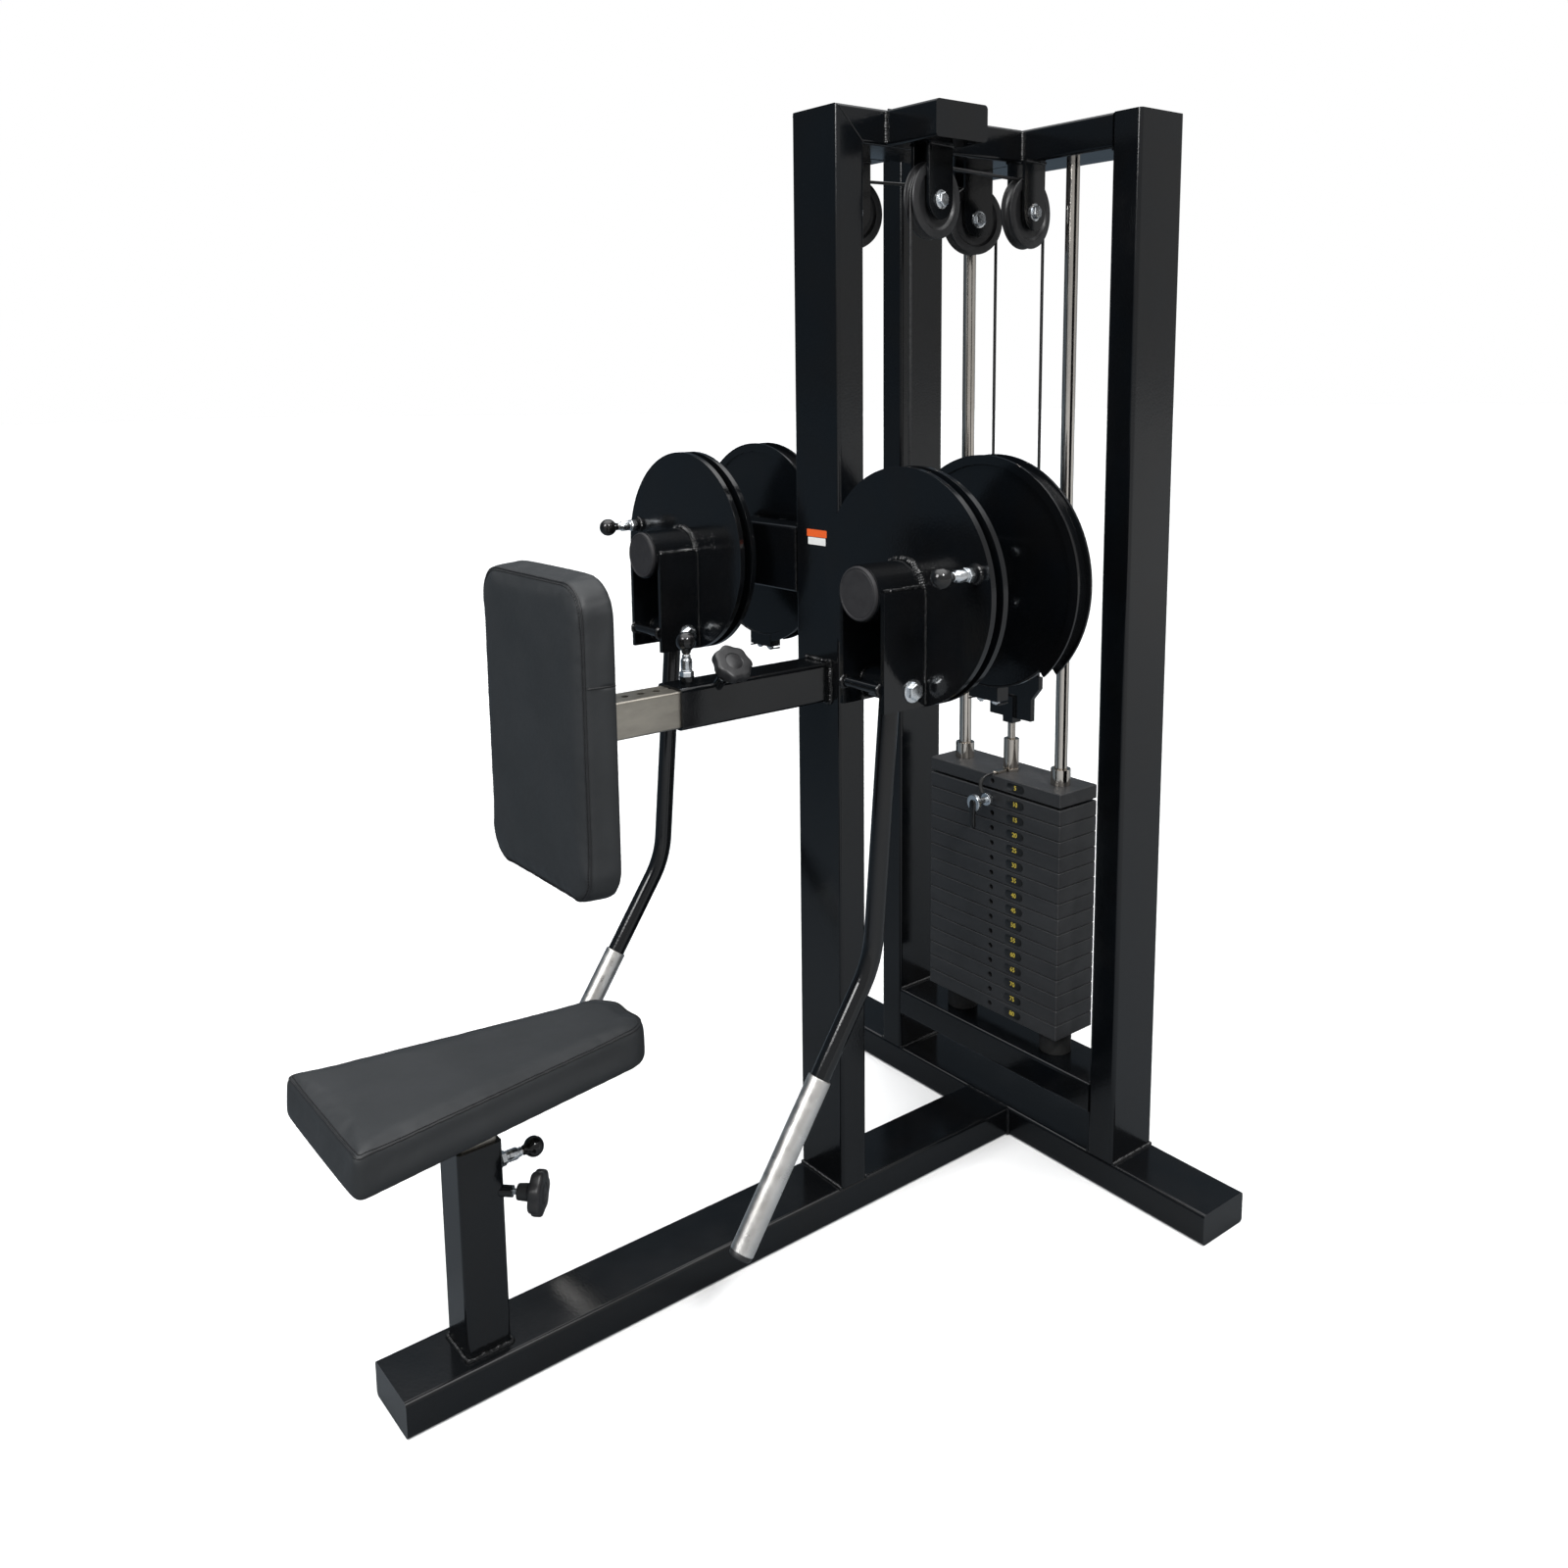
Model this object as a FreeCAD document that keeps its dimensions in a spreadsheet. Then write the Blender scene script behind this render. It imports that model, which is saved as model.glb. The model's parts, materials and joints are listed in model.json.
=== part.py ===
"""Seated lateral raise machine with a pin-selected weight stack.

The frame is welded rectangular tube. Two arms hang from bearings at shoulder height.
Each arm turns a cable wheel, and its cable runs over two pulleys to the stack's yoke.
+X is the user's side to side, +Y points from the seat to the stack, +Z is up.
The origin is on the floor, in the middle of the footprint. Sizes are in millimetres.
"""
import FreeCAD, Part
import Sketcher
import math
import os
import re
from FreeCAD import Placement, Rotation, Vector

SIZES = {
    # Clearances, and how far a cutting tool reaches past the material
    "running_gap": 0.05, "bolt_fit": 0.1, "rope_gap": 0.4, "pin_gap": 1, "overshoot": 5,
    # Frame tube
    "beam_wide": 120, "beam_thin": 60, "beam_wall": 4, "beam_corner": 7,
    "top_level": 2000, "foot_width": 1060,
    "base_front": -668, "column_front": 182, "tower_front": 632,
    "tower_inside": 265, "rail_base": 140,
    "pulley_beam_front": 292, "pulley_beam_end": 180,
    # Arm bearings
    "pivot_across": 305, "pivot_level": 1231, "pivot_beam_end": 365,
    "shaft_radius": 25, "shaft_front": 30, "wheel_hub_front": 262,
    "housing_radius": 45, "housing_front": 152,
    "flange_side": 110, "flange_thick": 12, "flange_bolt_offset": 42,
    # Cable wheel
    "wheel_front": 280, "wheel_width": 34, "wheel_radius": 197, "wheel_wall": 4,
    "wheel_seat": 182, "groove_floor": 186.6, "cable_wrap": 190, "web_thick": 8,
    "wheel_gap_start": 258, "wheel_gap_end": 312,
    "clamp_width": 64, "clamp_drop": 206, "clamp_bolt_offset": 16, "clamp_bolt_radius": 7.5,
    "clamp_bolt_high": 10,
    # Index disc and arm hub
    "disc_radius": 187, "index_front": 127, "disc_thick": 10, "index_step": 15,
    "hub_front": 14, "hub_radius": 44, "arm_disc_front": 102,
    "cheek_inside": 43, "cheek_thick": 8, "cheek_front": 17, "cheek_top": 1236,
    "cheek_bottom": 1052, "stop_rod_radius": 7.5, "stop_rod_along": 20, "stop_rod_level": 1088,
    "cap_thick": 6, "cap_radius": 42,
    "plunger_across": 155, "plunger_rise": 38,
    # Handle
    "hinge_along": 76, "hinge_level": 1080, "hinge_radius": 10, "bush_radius": 24, "bush_gap": 1,
    "arm_tube_radius": 16, "arm_tube_wall": 3, "elbow_along": 38, "elbow_level": 638,
    "elbow_radius": 160, "grip_top_along": -72, "grip_top_level": 476,
    "grip_length": 277, "grip_radius": 19, "grip_fit": 0.2, "grip_plug": 9, "plug_inset": 1,
    "bolt_head_radius": 15, "bolt_head_thick": 12,
    # Seat and chest pad
    "post_side": 61.6, "post_wall": 3, "post_corner": 4, "post_hole": 6, "post_pitch": 30,
    "seat_along": -520, "seat_sleeve_side": 74, "seat_sleeve_top": 402,
    "sleeve_hollow": 62, "hollow_corner": 2.5,
    "seat_post_foot": 100, "seat_base": 460, "seat_top": 528, "seat_front": -752,
    "seat_back": -222, "seat_front_half": 153, "seat_back_half": 72,
    "seat_front_round": 14, "seat_back_round": 56,
    "plate_thick": 8, "seat_plate_across": 130, "seat_plate_along": 240,
    "pad_sleeve_side": 70, "pad_sleeve_front": -133, "pad_level": 1022, "pad_post_back": 60,
    "pad_front": -386, "pad_back": -328, "pad_across": 330, "pad_base": 777, "pad_top": 1275,
    "pad_round": 58, "cushion_edge": 14, "pad_plate_across": 160, "pad_plate_high": 200,
    # Spring plungers
    "pin_radius": 5, "pin_bore": 5.1, "boss_radius": 12.5, "boss_long": 11, "boss_root": 8,
    "barrel_radius": 9, "barrel_long": 32, "ball_radius": 16.5, "ball_reach": 70, "pin_short": 0.3,
    "seat_plunger_level": 348, "pad_plunger_along": -99,
    # Star knobs
    "seat_knob_level": 318, "pad_knob_along": -58, "knob_boss": 13, "knob_boss_radius": 9,
    "knob_screw_depth": 4, "knob_screw_past": 2, "knob_gap": 1,
    "knob_hub_radius": 13, "star_radius": 35, "star_thick": 20, "star_start": 43,
    "scallop_radius": 11, "scallop_centre": 41,
    # Pulleys
    "rope_radius": 3, "pulley_radius": 65, "pulley_width": 24, "pulley_pitch": 58,
    "pulley_groove": 9, "pulley_level": 1850, "axle_radius": 8, "bracket_gap": 1.5,
    "bracket_thick": 6, "bracket_wide": 66, "axle_head_radius": 13, "axle_head_thick": 8,
    "recess_inner": 22, "recess_outer": 48, "recess_deep": 4,
    # Weight stack
    "stack_along": 692, "stack_wide": 354, "stack_deep": 110, "stack_base": 250,
    "slab_pitch": 31.6, "slab_thick": 31, "slab_edge": 1.5, "head_base": 728, "head_thick": 28,
    "rod_across": 130, "rod_radius": 12.5, "rod_hole": 14, "stem_radius": 11, "stem_hole": 12.5,
    "stem_foot": 254, "stem_thread": 8, "stem_top": 868, "pin_slot": 5.5, "select_radius": 4.8,
    "select_front": 586, "select_back": 716, "select_face": 17, "select_disc": 13,
    "select_disc_thick": 8, "select_ring": 622, "pull_wide": 16, "pull_long": 58, "pull_thick": 10,
    "bushing_radius": 19.5, "bushing_high": 33, "sleeve_base": 762, "sleeve_high": 61,
    "sleeve_radius": 15.5, "bumper_radius": 32, "bumper_gap": 0.4, "lanyard_radius": 2.5,
    "lanyard_rise": 3, "lanyard_gap": 3,
    "yoke_base": 858, "yoke_block": 26, "yoke_block_top": 913, "yoke_wing": 55,
    "yoke_wing_base": 868, "yoke_shoulder": 938,
    "yoke_top": 962, "yoke_half": 75, "yoke_thick": 12, "socket_radius": 8, "socket_high": 26,
    "drop_across": 60,
}
WEIGHT_PLATES = 14
INDEX_HOLES = range(-2, 6)
STAR_LOBES = 7
ALONG_X = Rotation(Vector(0, 1, 0), 90)
ALONG_Y = Rotation(Vector(1, 0, 0), -90)
ALONG_Z = Rotation()

document = FreeCAD.newDocument("LateralRaiseMachine")
sheet = document.addObject("Spreadsheet::Sheet", "Sizes")
for row, (alias, value) in enumerate(SIZES.items(), start=1):
    sheet.set(f"A{row}", alias)
    sheet.set(f"B{row}", str(value))
    sheet.setAlias(f"B{row}", alias)
document.recompute()
parts = {}


# ---------------------------------------------------------------- helpers

def size(alias):
    """The value of one sheet cell."""
    return float(sheet.get(alias))


def formula(text):
    """An expression in which each alias points at its cell of the sheet."""
    text = text if isinstance(text, str) else f"{text:.6f}"
    return re.sub(r"[a-z_]+", lambda word: f"Sizes.{word.group()}", text)


def bind(item, **properties):
    """Drive each named property with an expression over the sheet."""
    for name, text in properties.items():
        item.setExpression(name, formula(text))
    return item


def place(item, x=0, y=0, z=0, turn=ALONG_Z):
    """Turn an object and drive its position from the sheet."""
    item.Placement = Placement(Vector(), turn)
    for axis, text in zip("xyz", (x, y, z)):
        item.setExpression(f"Placement.Base.{axis}", formula(text))
    return item


def box(wide, deep, high, x=0, y=0, z=0):
    """A box centred on x and y, standing on z."""
    item = bind(document.addObject("Part::Box", "Block"), Length=wide, Width=deep, Height=high)
    return place(item, f"{x} - ({wide}) / 2", f"{y} - ({deep}) / 2", z)


def cylinder(radius, high, x=0, y=0, z=0, turn=ALONG_Z, angle=360):
    """A cylinder from its base centre along the turned Z axis."""
    item = bind(document.addObject("Part::Cylinder", "Round"), Radius=radius, Height=high)
    bind(item, Angle=angle)
    return place(item, x, y, z, turn)


def hexagon(radius, high, x=0, y=0, z=0, turn=ALONG_Z):
    """A hexagonal prism, for bolt heads and nuts."""
    item = document.addObject("Part::Prism", "Hexagon")
    item.Polygon = 6
    bind(item, Circumradius=radius, Height=high)
    return place(item, x, y, z, turn)


def ball(radius, x=0, y=0, z=0):
    item = bind(document.addObject("Part::Sphere", "Ball"), Radius=radius)
    return place(item, x, y, z)


def fuse(*items):
    item = document.addObject("Part::MultiFuse", "Joined")
    item.Shapes = list(items)
    return item


def cut(base, *tools):
    item = document.addObject("Part::Cut", "Trimmed")
    item.Base = base
    item.Tool = tools[0] if len(tools) == 1 else fuse(*tools)
    return item


def group(*items):
    item = document.addObject("Part::Compound", "Group")
    item.Links = list(items)
    return item


def mirrored(item):
    """The same object on the other side of the machine's middle plane."""
    twin = document.addObject("Part::Mirroring", "Twin")
    twin.Source = item
    twin.Normal = Vector(1, 0, 0)
    return twin


def keep(label, item):
    """Register an object as one node of the model."""
    item.Label = label
    parts[label] = item
    return item


def keep_pair(label, item):
    """Register a right-hand object and its mirrored left-hand twin."""
    keep(f"{label}_right", item)
    keep(f"{label}_left", mirrored(item))


def rectangle(sketch, wide, deep):
    """A rectangle centred on the sketch's origin, with driven sides."""
    half_wide, half_deep = 20.0, 10.0
    corners = [Vector(-half_wide, -half_deep, 0), Vector(half_wide, -half_deep, 0),
               Vector(half_wide, half_deep, 0), Vector(-half_wide, half_deep, 0)]
    for start, end in zip(corners, corners[1:] + corners[:1]):
        sketch.addGeometry(Part.LineSegment(start, end))
    for side in range(4):
        sketch.addConstraint(Sketcher.Constraint("Coincident", side, 2, (side + 1) % 4, 1))
    for side, kind in enumerate(("Horizontal", "Vertical", "Horizontal", "Vertical")):
        sketch.addConstraint(Sketcher.Constraint(kind, side))
    sketch.addConstraint(Sketcher.Constraint("Symmetric", 0, 1, 2, 1, -1, 1))
    width = sketch.addConstraint(Sketcher.Constraint("DistanceX", 0, 1, 0, 2, 2 * half_wide))
    depth = sketch.addConstraint(Sketcher.Constraint("DistanceY", 1, 1, 1, 2, 2 * half_deep))
    sketch.setExpression(f"Constraints[{width}]", formula(wide))
    sketch.setExpression(f"Constraints[{depth}]", formula(deep))


def new_sketch(body, start=0):
    """A sketch on the body's XY plane, raised by start along its normal."""
    plane = next(item for item in body.Origin.OriginFeatures if item.Role == "XY_Plane")
    sketch = body.newObject("Sketcher::SketchObject", "Profile")
    sketch.AttachmentSupport = (plane, [""])
    sketch.MapMode = "FlatFace"
    sketch.setExpression("AttachmentOffset.Base.z", formula(start))
    return sketch


def edges_along(shape, direction):
    """Names of the straight edges parallel to a direction."""
    names = []
    for number, edge in enumerate(shape.Edges, start=1):
        if edge.Curve.TypeId == "Part::GeomLine":
            if abs(edge.Curve.Direction.dot(direction)) > 0.999:
                names.append(f"Edge{number}")
    return names


def edges_at_level(shape, level):
    """Names of the edges that lie wholly at one height."""
    names = []
    for number, edge in enumerate(shape.Edges, start=1):
        bounds = edge.BoundBox
        if abs(bounds.ZMin - level) < 1e-4 and abs(bounds.ZMax - level) < 1e-4:
            names.append(f"Edge{number}")
    return names


def rounded_pad(wide, deep, high, corner):
    """A body with one padded rectangle whose upright edges are rounded."""
    body = document.addObject("PartDesign::Body", "Solid")
    sketch = new_sketch(body)
    rectangle(sketch, wide, deep)
    pad = body.newObject("PartDesign::Pad", "Extrusion")
    pad.Profile = sketch
    bind(pad, Length=high)
    document.recompute()
    rounding = body.newObject("PartDesign::Fillet", "Corners")
    rounding.Base = (pad, edges_along(pad.Shape, Vector(0, 0, 1)))
    bind(rounding, Radius=corner)
    return body


def tube(wide, deep, long, x=0, y=0, z=0, turn=ALONG_Z, wall="beam_wall", near=False, far=False,
         corner="beam_corner"):
    """A hollow rectangular tube along the turned Z axis; near and far close its ends."""
    body = rounded_pad(wide, deep, long, corner)
    start = wall if near else "0"
    end = f"{long} - {wall}" if far else long
    hollow = new_sketch(body, start)
    rectangle(hollow, f"{wide} - 2 * {wall}", f"{deep} - 2 * {wall}")
    pocket = body.newObject("PartDesign::Pocket", "Hollow")
    pocket.Profile = hollow
    pocket.Reversed = True
    bind(pocket, Length=f"{end} - {start}")
    return place(body, x, y, z, turn)


def solid_node(shape, label):
    """A Part::Feature for a shape that no parametric feature makes."""
    item = document.addObject("Part::Feature", label)
    item.Shape = shape
    return item


def swept(path, radius):
    """A round bar along a wire of tangent lines and arcs."""
    start = path.OrderedVertexes[0].Point
    heading = path.OrderedEdges[0].tangentAt(path.OrderedEdges[0].FirstParameter)
    profile = Part.Wire(Part.makeCircle(radius, start, heading))
    return path.makePipeShell([profile], True, False)


def filleted_path(points, radii):
    """Straight runs through the points, joined by tangent arcs of the given radii."""
    edges = []
    start = points[0]
    for before, corner, after, radius in zip(points, points[1:], points[2:], radii):
        to_before = (before - corner).normalize()
        to_after = (after - corner).normalize()
        half = to_before.getAngle(to_after) / 2
        reach = radius / math.tan(half)
        first = corner + to_before * reach
        last = corner + to_after * reach
        inward = (to_before + to_after).normalize()
        middle = corner + inward * (radius / math.sin(half) - radius)
        edges.append(Part.LineSegment(start, first).toShape())
        edges.append(Part.Arc(first, middle, last).toShape())
        start = last
    edges.append(Part.LineSegment(start, points[-1]).toShape())
    return Part.Wire(edges)


# ---------------------------------------------------------------- frame

def build_frame():
    half_foot = "foot_width / 2"
    tower_middle = "tower_front + beam_wide / 2"
    keep("base_beam", tube("beam_wide", "beam_thin", "tower_front - base_front", 0, "base_front",
                           "beam_thin / 2", ALONG_Y, near=True))
    foot = tube("beam_thin", "beam_wide", "foot_width", f"-{half_foot}", tower_middle,
                "beam_thin / 2", ALONG_X, near=True, far=True)
    vent = cylinder("beam_corner", "2 * beam_wall", 0, "tower_front - beam_wall", "beam_thin / 2",
                    ALONG_Y)
    keep("rear_foot", cut(foot, vent))

    column = tube("beam_wide", "beam_thin", "top_level - beam_thin", 0,
                  "column_front + beam_thin / 2", "beam_thin")
    keep("front_column", cut(column, mitre_cutter(above=True)))
    spine = tube("beam_wide", "beam_thin", "tower_front - column_front", 0, "column_front",
                 "top_level - beam_thin / 2", ALONG_Y)
    keep("top_beam", cut(spine, mitre_cutter(above=False)))

    upright = tube("beam_thin", "beam_wide", "top_level - beam_thin",
                   "tower_inside + beam_thin / 2", tower_middle, "beam_thin", far=True)
    keep_pair("rear_column", upright)
    for label, base in (("top_rear_beam", "top_level - beam_thin"), ("stack_rail", "rail_base")):
        keep(label, tube("beam_thin", "beam_wide", "2 * tower_inside", "-tower_inside",
                         tower_middle, f"{base} + beam_thin / 2", ALONG_X))

    stub = tube("beam_thin", "beam_wide", "pulley_beam_end - beam_wide / 2", "beam_wide / 2",
                "pulley_beam_front + beam_wide / 2", "top_level - beam_thin / 2", ALONG_X, far=True)
    keep("pulley_beams", group(stub, mirrored(stub)))
    stub = tube("beam_wide", "beam_thin", "pivot_beam_end - beam_wide / 2", "beam_wide / 2",
                "column_front + beam_thin / 2", "pivot_level", ALONG_X, far=True)
    socket = cylinder("housing_radius", "2 * beam_thin", "pivot_across", "column_front - beam_thin / 2",
                      "pivot_level", ALONG_Y)
    stub = cut(stub, socket)
    keep("pivot_beams", group(stub, mirrored(stub)))


def mitre_cutter(above):
    """A tilted block whose face is the mitre between the column and the top beam."""
    block = document.addObject("Part::Box", "Mitre")
    bind(block, Length="2 * beam_wide", Width="4 * beam_wide", Height="2 * beam_wide")
    tilt = Rotation(Vector(1, 0, 0), -45 if above else 135)
    back = tilt.multVec(Vector(0, -2 * size("beam_wide"), 0))
    place(block, "-beam_wide", f"column_front + ({back.y})", f"top_level + ({back.z})", tilt)
    return block


def build_bearings():
    """Housings in the pivot beams, each with a square flange behind the beam."""
    depth = "column_front + beam_thin + flange_thick - housing_front"
    barrel = cylinder("housing_radius", depth, "pivot_across", "housing_front", "pivot_level", ALONG_Y)
    flange = box("flange_side", "flange_thick", "flange_side", "pivot_across",
                 "column_front + beam_thin + flange_thick / 2", "pivot_level - flange_side / 2")
    bore = cylinder("shaft_radius + running_gap", f"2 * ({depth})", "pivot_across",
                    "housing_front - beam_thin", "pivot_level", ALONG_Y)
    keep_pair("bearing", cut(fuse(barrel, flange), bore))


# ---------------------------------------------------------------- seat and chest pad

def knob_axis(along_y):
    """The turn of a star knob's axis, square to a sleeve's edge."""
    return Rotation(Vector(0, 0, 1), Vector(1, 1, 0) if along_y else Vector(1, 0, 1))


def star_knob(x, y, z, turn):
    """A star grip with its hub and clamp screw, from the sleeve's corner outwards."""
    screw = cylinder("pin_radius", "knob_screw_depth + knob_boss + knob_screw_past", 0, 0,
                     "-knob_screw_depth")
    hub = cylinder("knob_hub_radius", "star_start - knob_boss", 0, 0, "knob_boss + knob_gap")
    star = cylinder("star_radius", "star_thick", 0, 0, "star_start")
    scallops = []
    for lobe in range(STAR_LOBES):
        heading = 2 * math.pi * lobe / STAR_LOBES
        scallops.append(cylinder("scallop_radius", "star_thick + 2 * overshoot",
                                 f"scallop_centre * ({math.cos(heading):.6f})",
                                 f"scallop_centre * ({math.sin(heading):.6f})",
                                 "star_start - overshoot"))
    return place(fuse(screw, hub, cut(star, *scallops)), x, y, z, turn)


def corner_boss(x, y, z, turn):
    """A round boss on a sleeve's corner and the bore of its clamp screw."""
    boss = cylinder("knob_boss_radius", "knob_boss + boss_root", 0, 0, "-boss_root")
    bore = cylinder("pin_bore", "knob_boss + 3 * boss_root", 0, 0, "-2 * boss_root")
    return place(group(boss), x, y, z, turn), place(group(bore), x, y, z, turn)


def plunger(x, y, z, turn, depth):
    """A pull knob on its pin; depth is how far the pin reaches behind the boss face."""
    pin = cylinder("pin_radius", f"{depth} + ball_reach", 0, 0, f"-({depth})")
    return place(fuse(pin, ball("ball_radius", 0, 0, "ball_reach")), x, y, z, turn)


def barrel(x, y, z, turn):
    """The plunger's steel barrel on its boss."""
    outer = cylinder("barrel_radius", "barrel_long", 0, 0, "boss_long")
    bore = cylinder("pin_bore", "barrel_long + 2 * overshoot", 0, 0, "boss_long - overshoot")
    return place(cut(outer, bore), x, y, z, turn)


def sleeve(side, long, x, y, z, turn, extras, bores):
    """A square sleeve with its bosses, bored for a plunger and a clamp screw."""
    outer = rounded_pad(side, side, long, "beam_corner")
    place(outer, x, y, z, turn)
    hollow = rounded_pad("sleeve_hollow", "sleeve_hollow", f"{long} + 2 * overshoot", "hollow_corner")
    shift = turn.multVec(Vector(0, 0, 1))
    start = [f"{at} - {along:.0f} * overshoot" for at, along in zip((x, y, z), shift)]
    place(hollow, *start, turn)
    return cut(fuse(outer, *extras), hollow, *bores)


def build_seat():
    half = "seat_sleeve_side / 2"
    back = f"seat_along + {half}"
    corner = (half, back, "seat_knob_level")
    boss = cylinder("boss_radius", "boss_long + boss_root", 0, f"{back} - boss_root",
                    "seat_plunger_level", ALONG_Y)
    bore = cylinder("pin_bore", "boss_long + 3 * boss_root", 0, f"{back} - 2 * boss_root",
                    "seat_plunger_level", ALONG_Y)
    knob_boss, knob_bore = corner_boss(*corner, knob_axis(True))
    keep("seat_sleeve", sleeve("seat_sleeve_side", "seat_sleeve_top - beam_thin", 0, "seat_along",
                               "beam_thin", ALONG_Z, [boss, knob_boss], [bore, knob_bore]))
    keep("seat_knob", star_knob(*corner, knob_axis(True)))
    wall = "(seat_sleeve_side - sleeve_hollow) / 2"
    keep("seat_plunger", plunger(0, back, "seat_plunger_level", ALONG_Y, f"{wall} - pin_short"))

    post_long = "seat_base - plate_thick - seat_post_foot"
    post = tube("post_side", "post_side", post_long, 0, "seat_along", "seat_post_foot",
                wall="post_wall", corner="post_corner")
    holes = [cylinder("post_hole", "2 * post_wall", 0, "seat_along + post_side / 2 - 1.5 * post_wall",
                      f"seat_plunger_level + {step} * post_pitch", ALONG_Y) for step in range(-7, 3)]
    plate = box("seat_plate_across", "seat_plate_along", "plate_thick", 0, "seat_along",
                "seat_base - plate_thick")
    keep("seat_post", fuse(cut(post, *holes), plate))
    keep("seat_cushion", tapered_cushion())


def tapered_cushion():
    """The seat: broad at the front, narrowing towards the chest pad, with rounded ends."""
    body = document.addObject("PartDesign::Body", "SeatSolid")
    sketch = new_sketch(body, "seat_base")
    corners = [("-seat_front_half", "seat_front"), ("seat_front_half", "seat_front"),
               ("seat_back_half", "seat_back"), ("-seat_back_half", "seat_back")]
    front, back = size("seat_front"), size("seat_back")
    front_half, back_half = size("seat_front_half"), size("seat_back_half")
    points = [Vector(-front_half, front, 0), Vector(front_half, front, 0),
              Vector(back_half, back, 0), Vector(-back_half, back, 0)]
    for start, end in zip(points, points[1:] + points[:1]):
        sketch.addGeometry(Part.LineSegment(start, end))
    for side in range(4):
        sketch.addConstraint(Sketcher.Constraint("Coincident", side, 2, (side + 1) % 4, 1))
    for side, (point, (x, y)) in enumerate(zip(points, corners)):
        across = sketch.addConstraint(Sketcher.Constraint("DistanceX", -1, 1, side, 1, point.x))
        along = sketch.addConstraint(Sketcher.Constraint("DistanceY", -1, 1, side, 1, point.y))
        sketch.setExpression(f"Constraints[{across}]", formula(x))
        sketch.setExpression(f"Constraints[{along}]", formula(y))
    pad = body.newObject("PartDesign::Pad", "Extrusion")
    pad.Profile = sketch
    bind(pad, Length="seat_top - seat_base")
    document.recompute()
    for end, corner in (("seat_front", "seat_front_round"), ("seat_back", "seat_back_round")):
        shape = body.Shape
        names = [name for name in edges_along(shape, Vector(0, 0, 1))
                 if abs(shape.getElement(name).BoundBox.YMin - size(end)) < 1e-3]
        body = round_edges(body, names, corner)
    return round_edges(body, edges_at_level(body.Shape, size("seat_top")), "cushion_edge")


def round_edges(body, names, radius):
    """Fillet some edges of the body's last feature."""
    rounding = body.newObject("PartDesign::Fillet", "Rounding")
    rounding.Base = (body.Group[-2], names)
    bind(rounding, Radius=radius)
    document.recompute()
    return body


def build_pad():
    half = "pad_sleeve_side / 2"
    top = f"pad_level + {half}"
    corner = (half, "pad_knob_along", top)
    boss = cylinder("boss_radius", "boss_long + boss_root", 0, "pad_plunger_along",
                    f"{top} - boss_root")
    bore = cylinder("pin_bore", "boss_long + 3 * boss_root", 0, "pad_plunger_along",
                    f"{top} - 2 * boss_root")
    knob_boss, knob_bore = corner_boss(*corner, knob_axis(False))
    keep("pad_sleeve", sleeve("pad_sleeve_side", "column_front - pad_sleeve_front", 0,
                              "pad_sleeve_front", "pad_level", ALONG_Y,
                              [boss, knob_boss], [bore, knob_bore]))
    keep("pad_knob", star_knob(*corner, knob_axis(False)))
    wall = "(pad_sleeve_side - sleeve_hollow) / 2"
    keep("pad_plunger", plunger(0, "pad_plunger_along", top, ALONG_Z, f"{wall} - pin_short"))
    keep("plunger_barrels", group(
        barrel(0, "seat_along + seat_sleeve_side / 2", "seat_plunger_level", ALONG_Y),
        barrel(0, "pad_plunger_along", top, ALONG_Z)))

    post = tube("post_side", "post_side", "pad_post_back - pad_back - plate_thick", 0,
                "pad_back + plate_thick", "pad_level", ALONG_Y, wall="post_wall", corner="post_corner")
    holes = [cylinder("post_hole", "2 * post_wall", 0, f"pad_plunger_along + {step} * post_pitch",
                      "pad_level + post_side / 2 - 1.5 * post_wall") for step in range(-6, 5)]
    plate = box("pad_plate_across", "plate_thick", "pad_plate_high", 0, "pad_back + plate_thick / 2",
                "pad_level - pad_plate_high / 2")
    keep("pad_post", fuse(cut(post, *holes), plate))

    cushion = rounded_pad("pad_across", "pad_top - pad_base", "pad_back - pad_front", "pad_round")
    document.recompute()
    cushion = round_edges(cushion, edges_at_level(cushion.Shape, 0), "cushion_edge")
    keep("pad_cushion", place(cushion, 0, "pad_front", "(pad_top + pad_base) / 2", ALONG_Y))


# ---------------------------------------------------------------- arms

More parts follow.
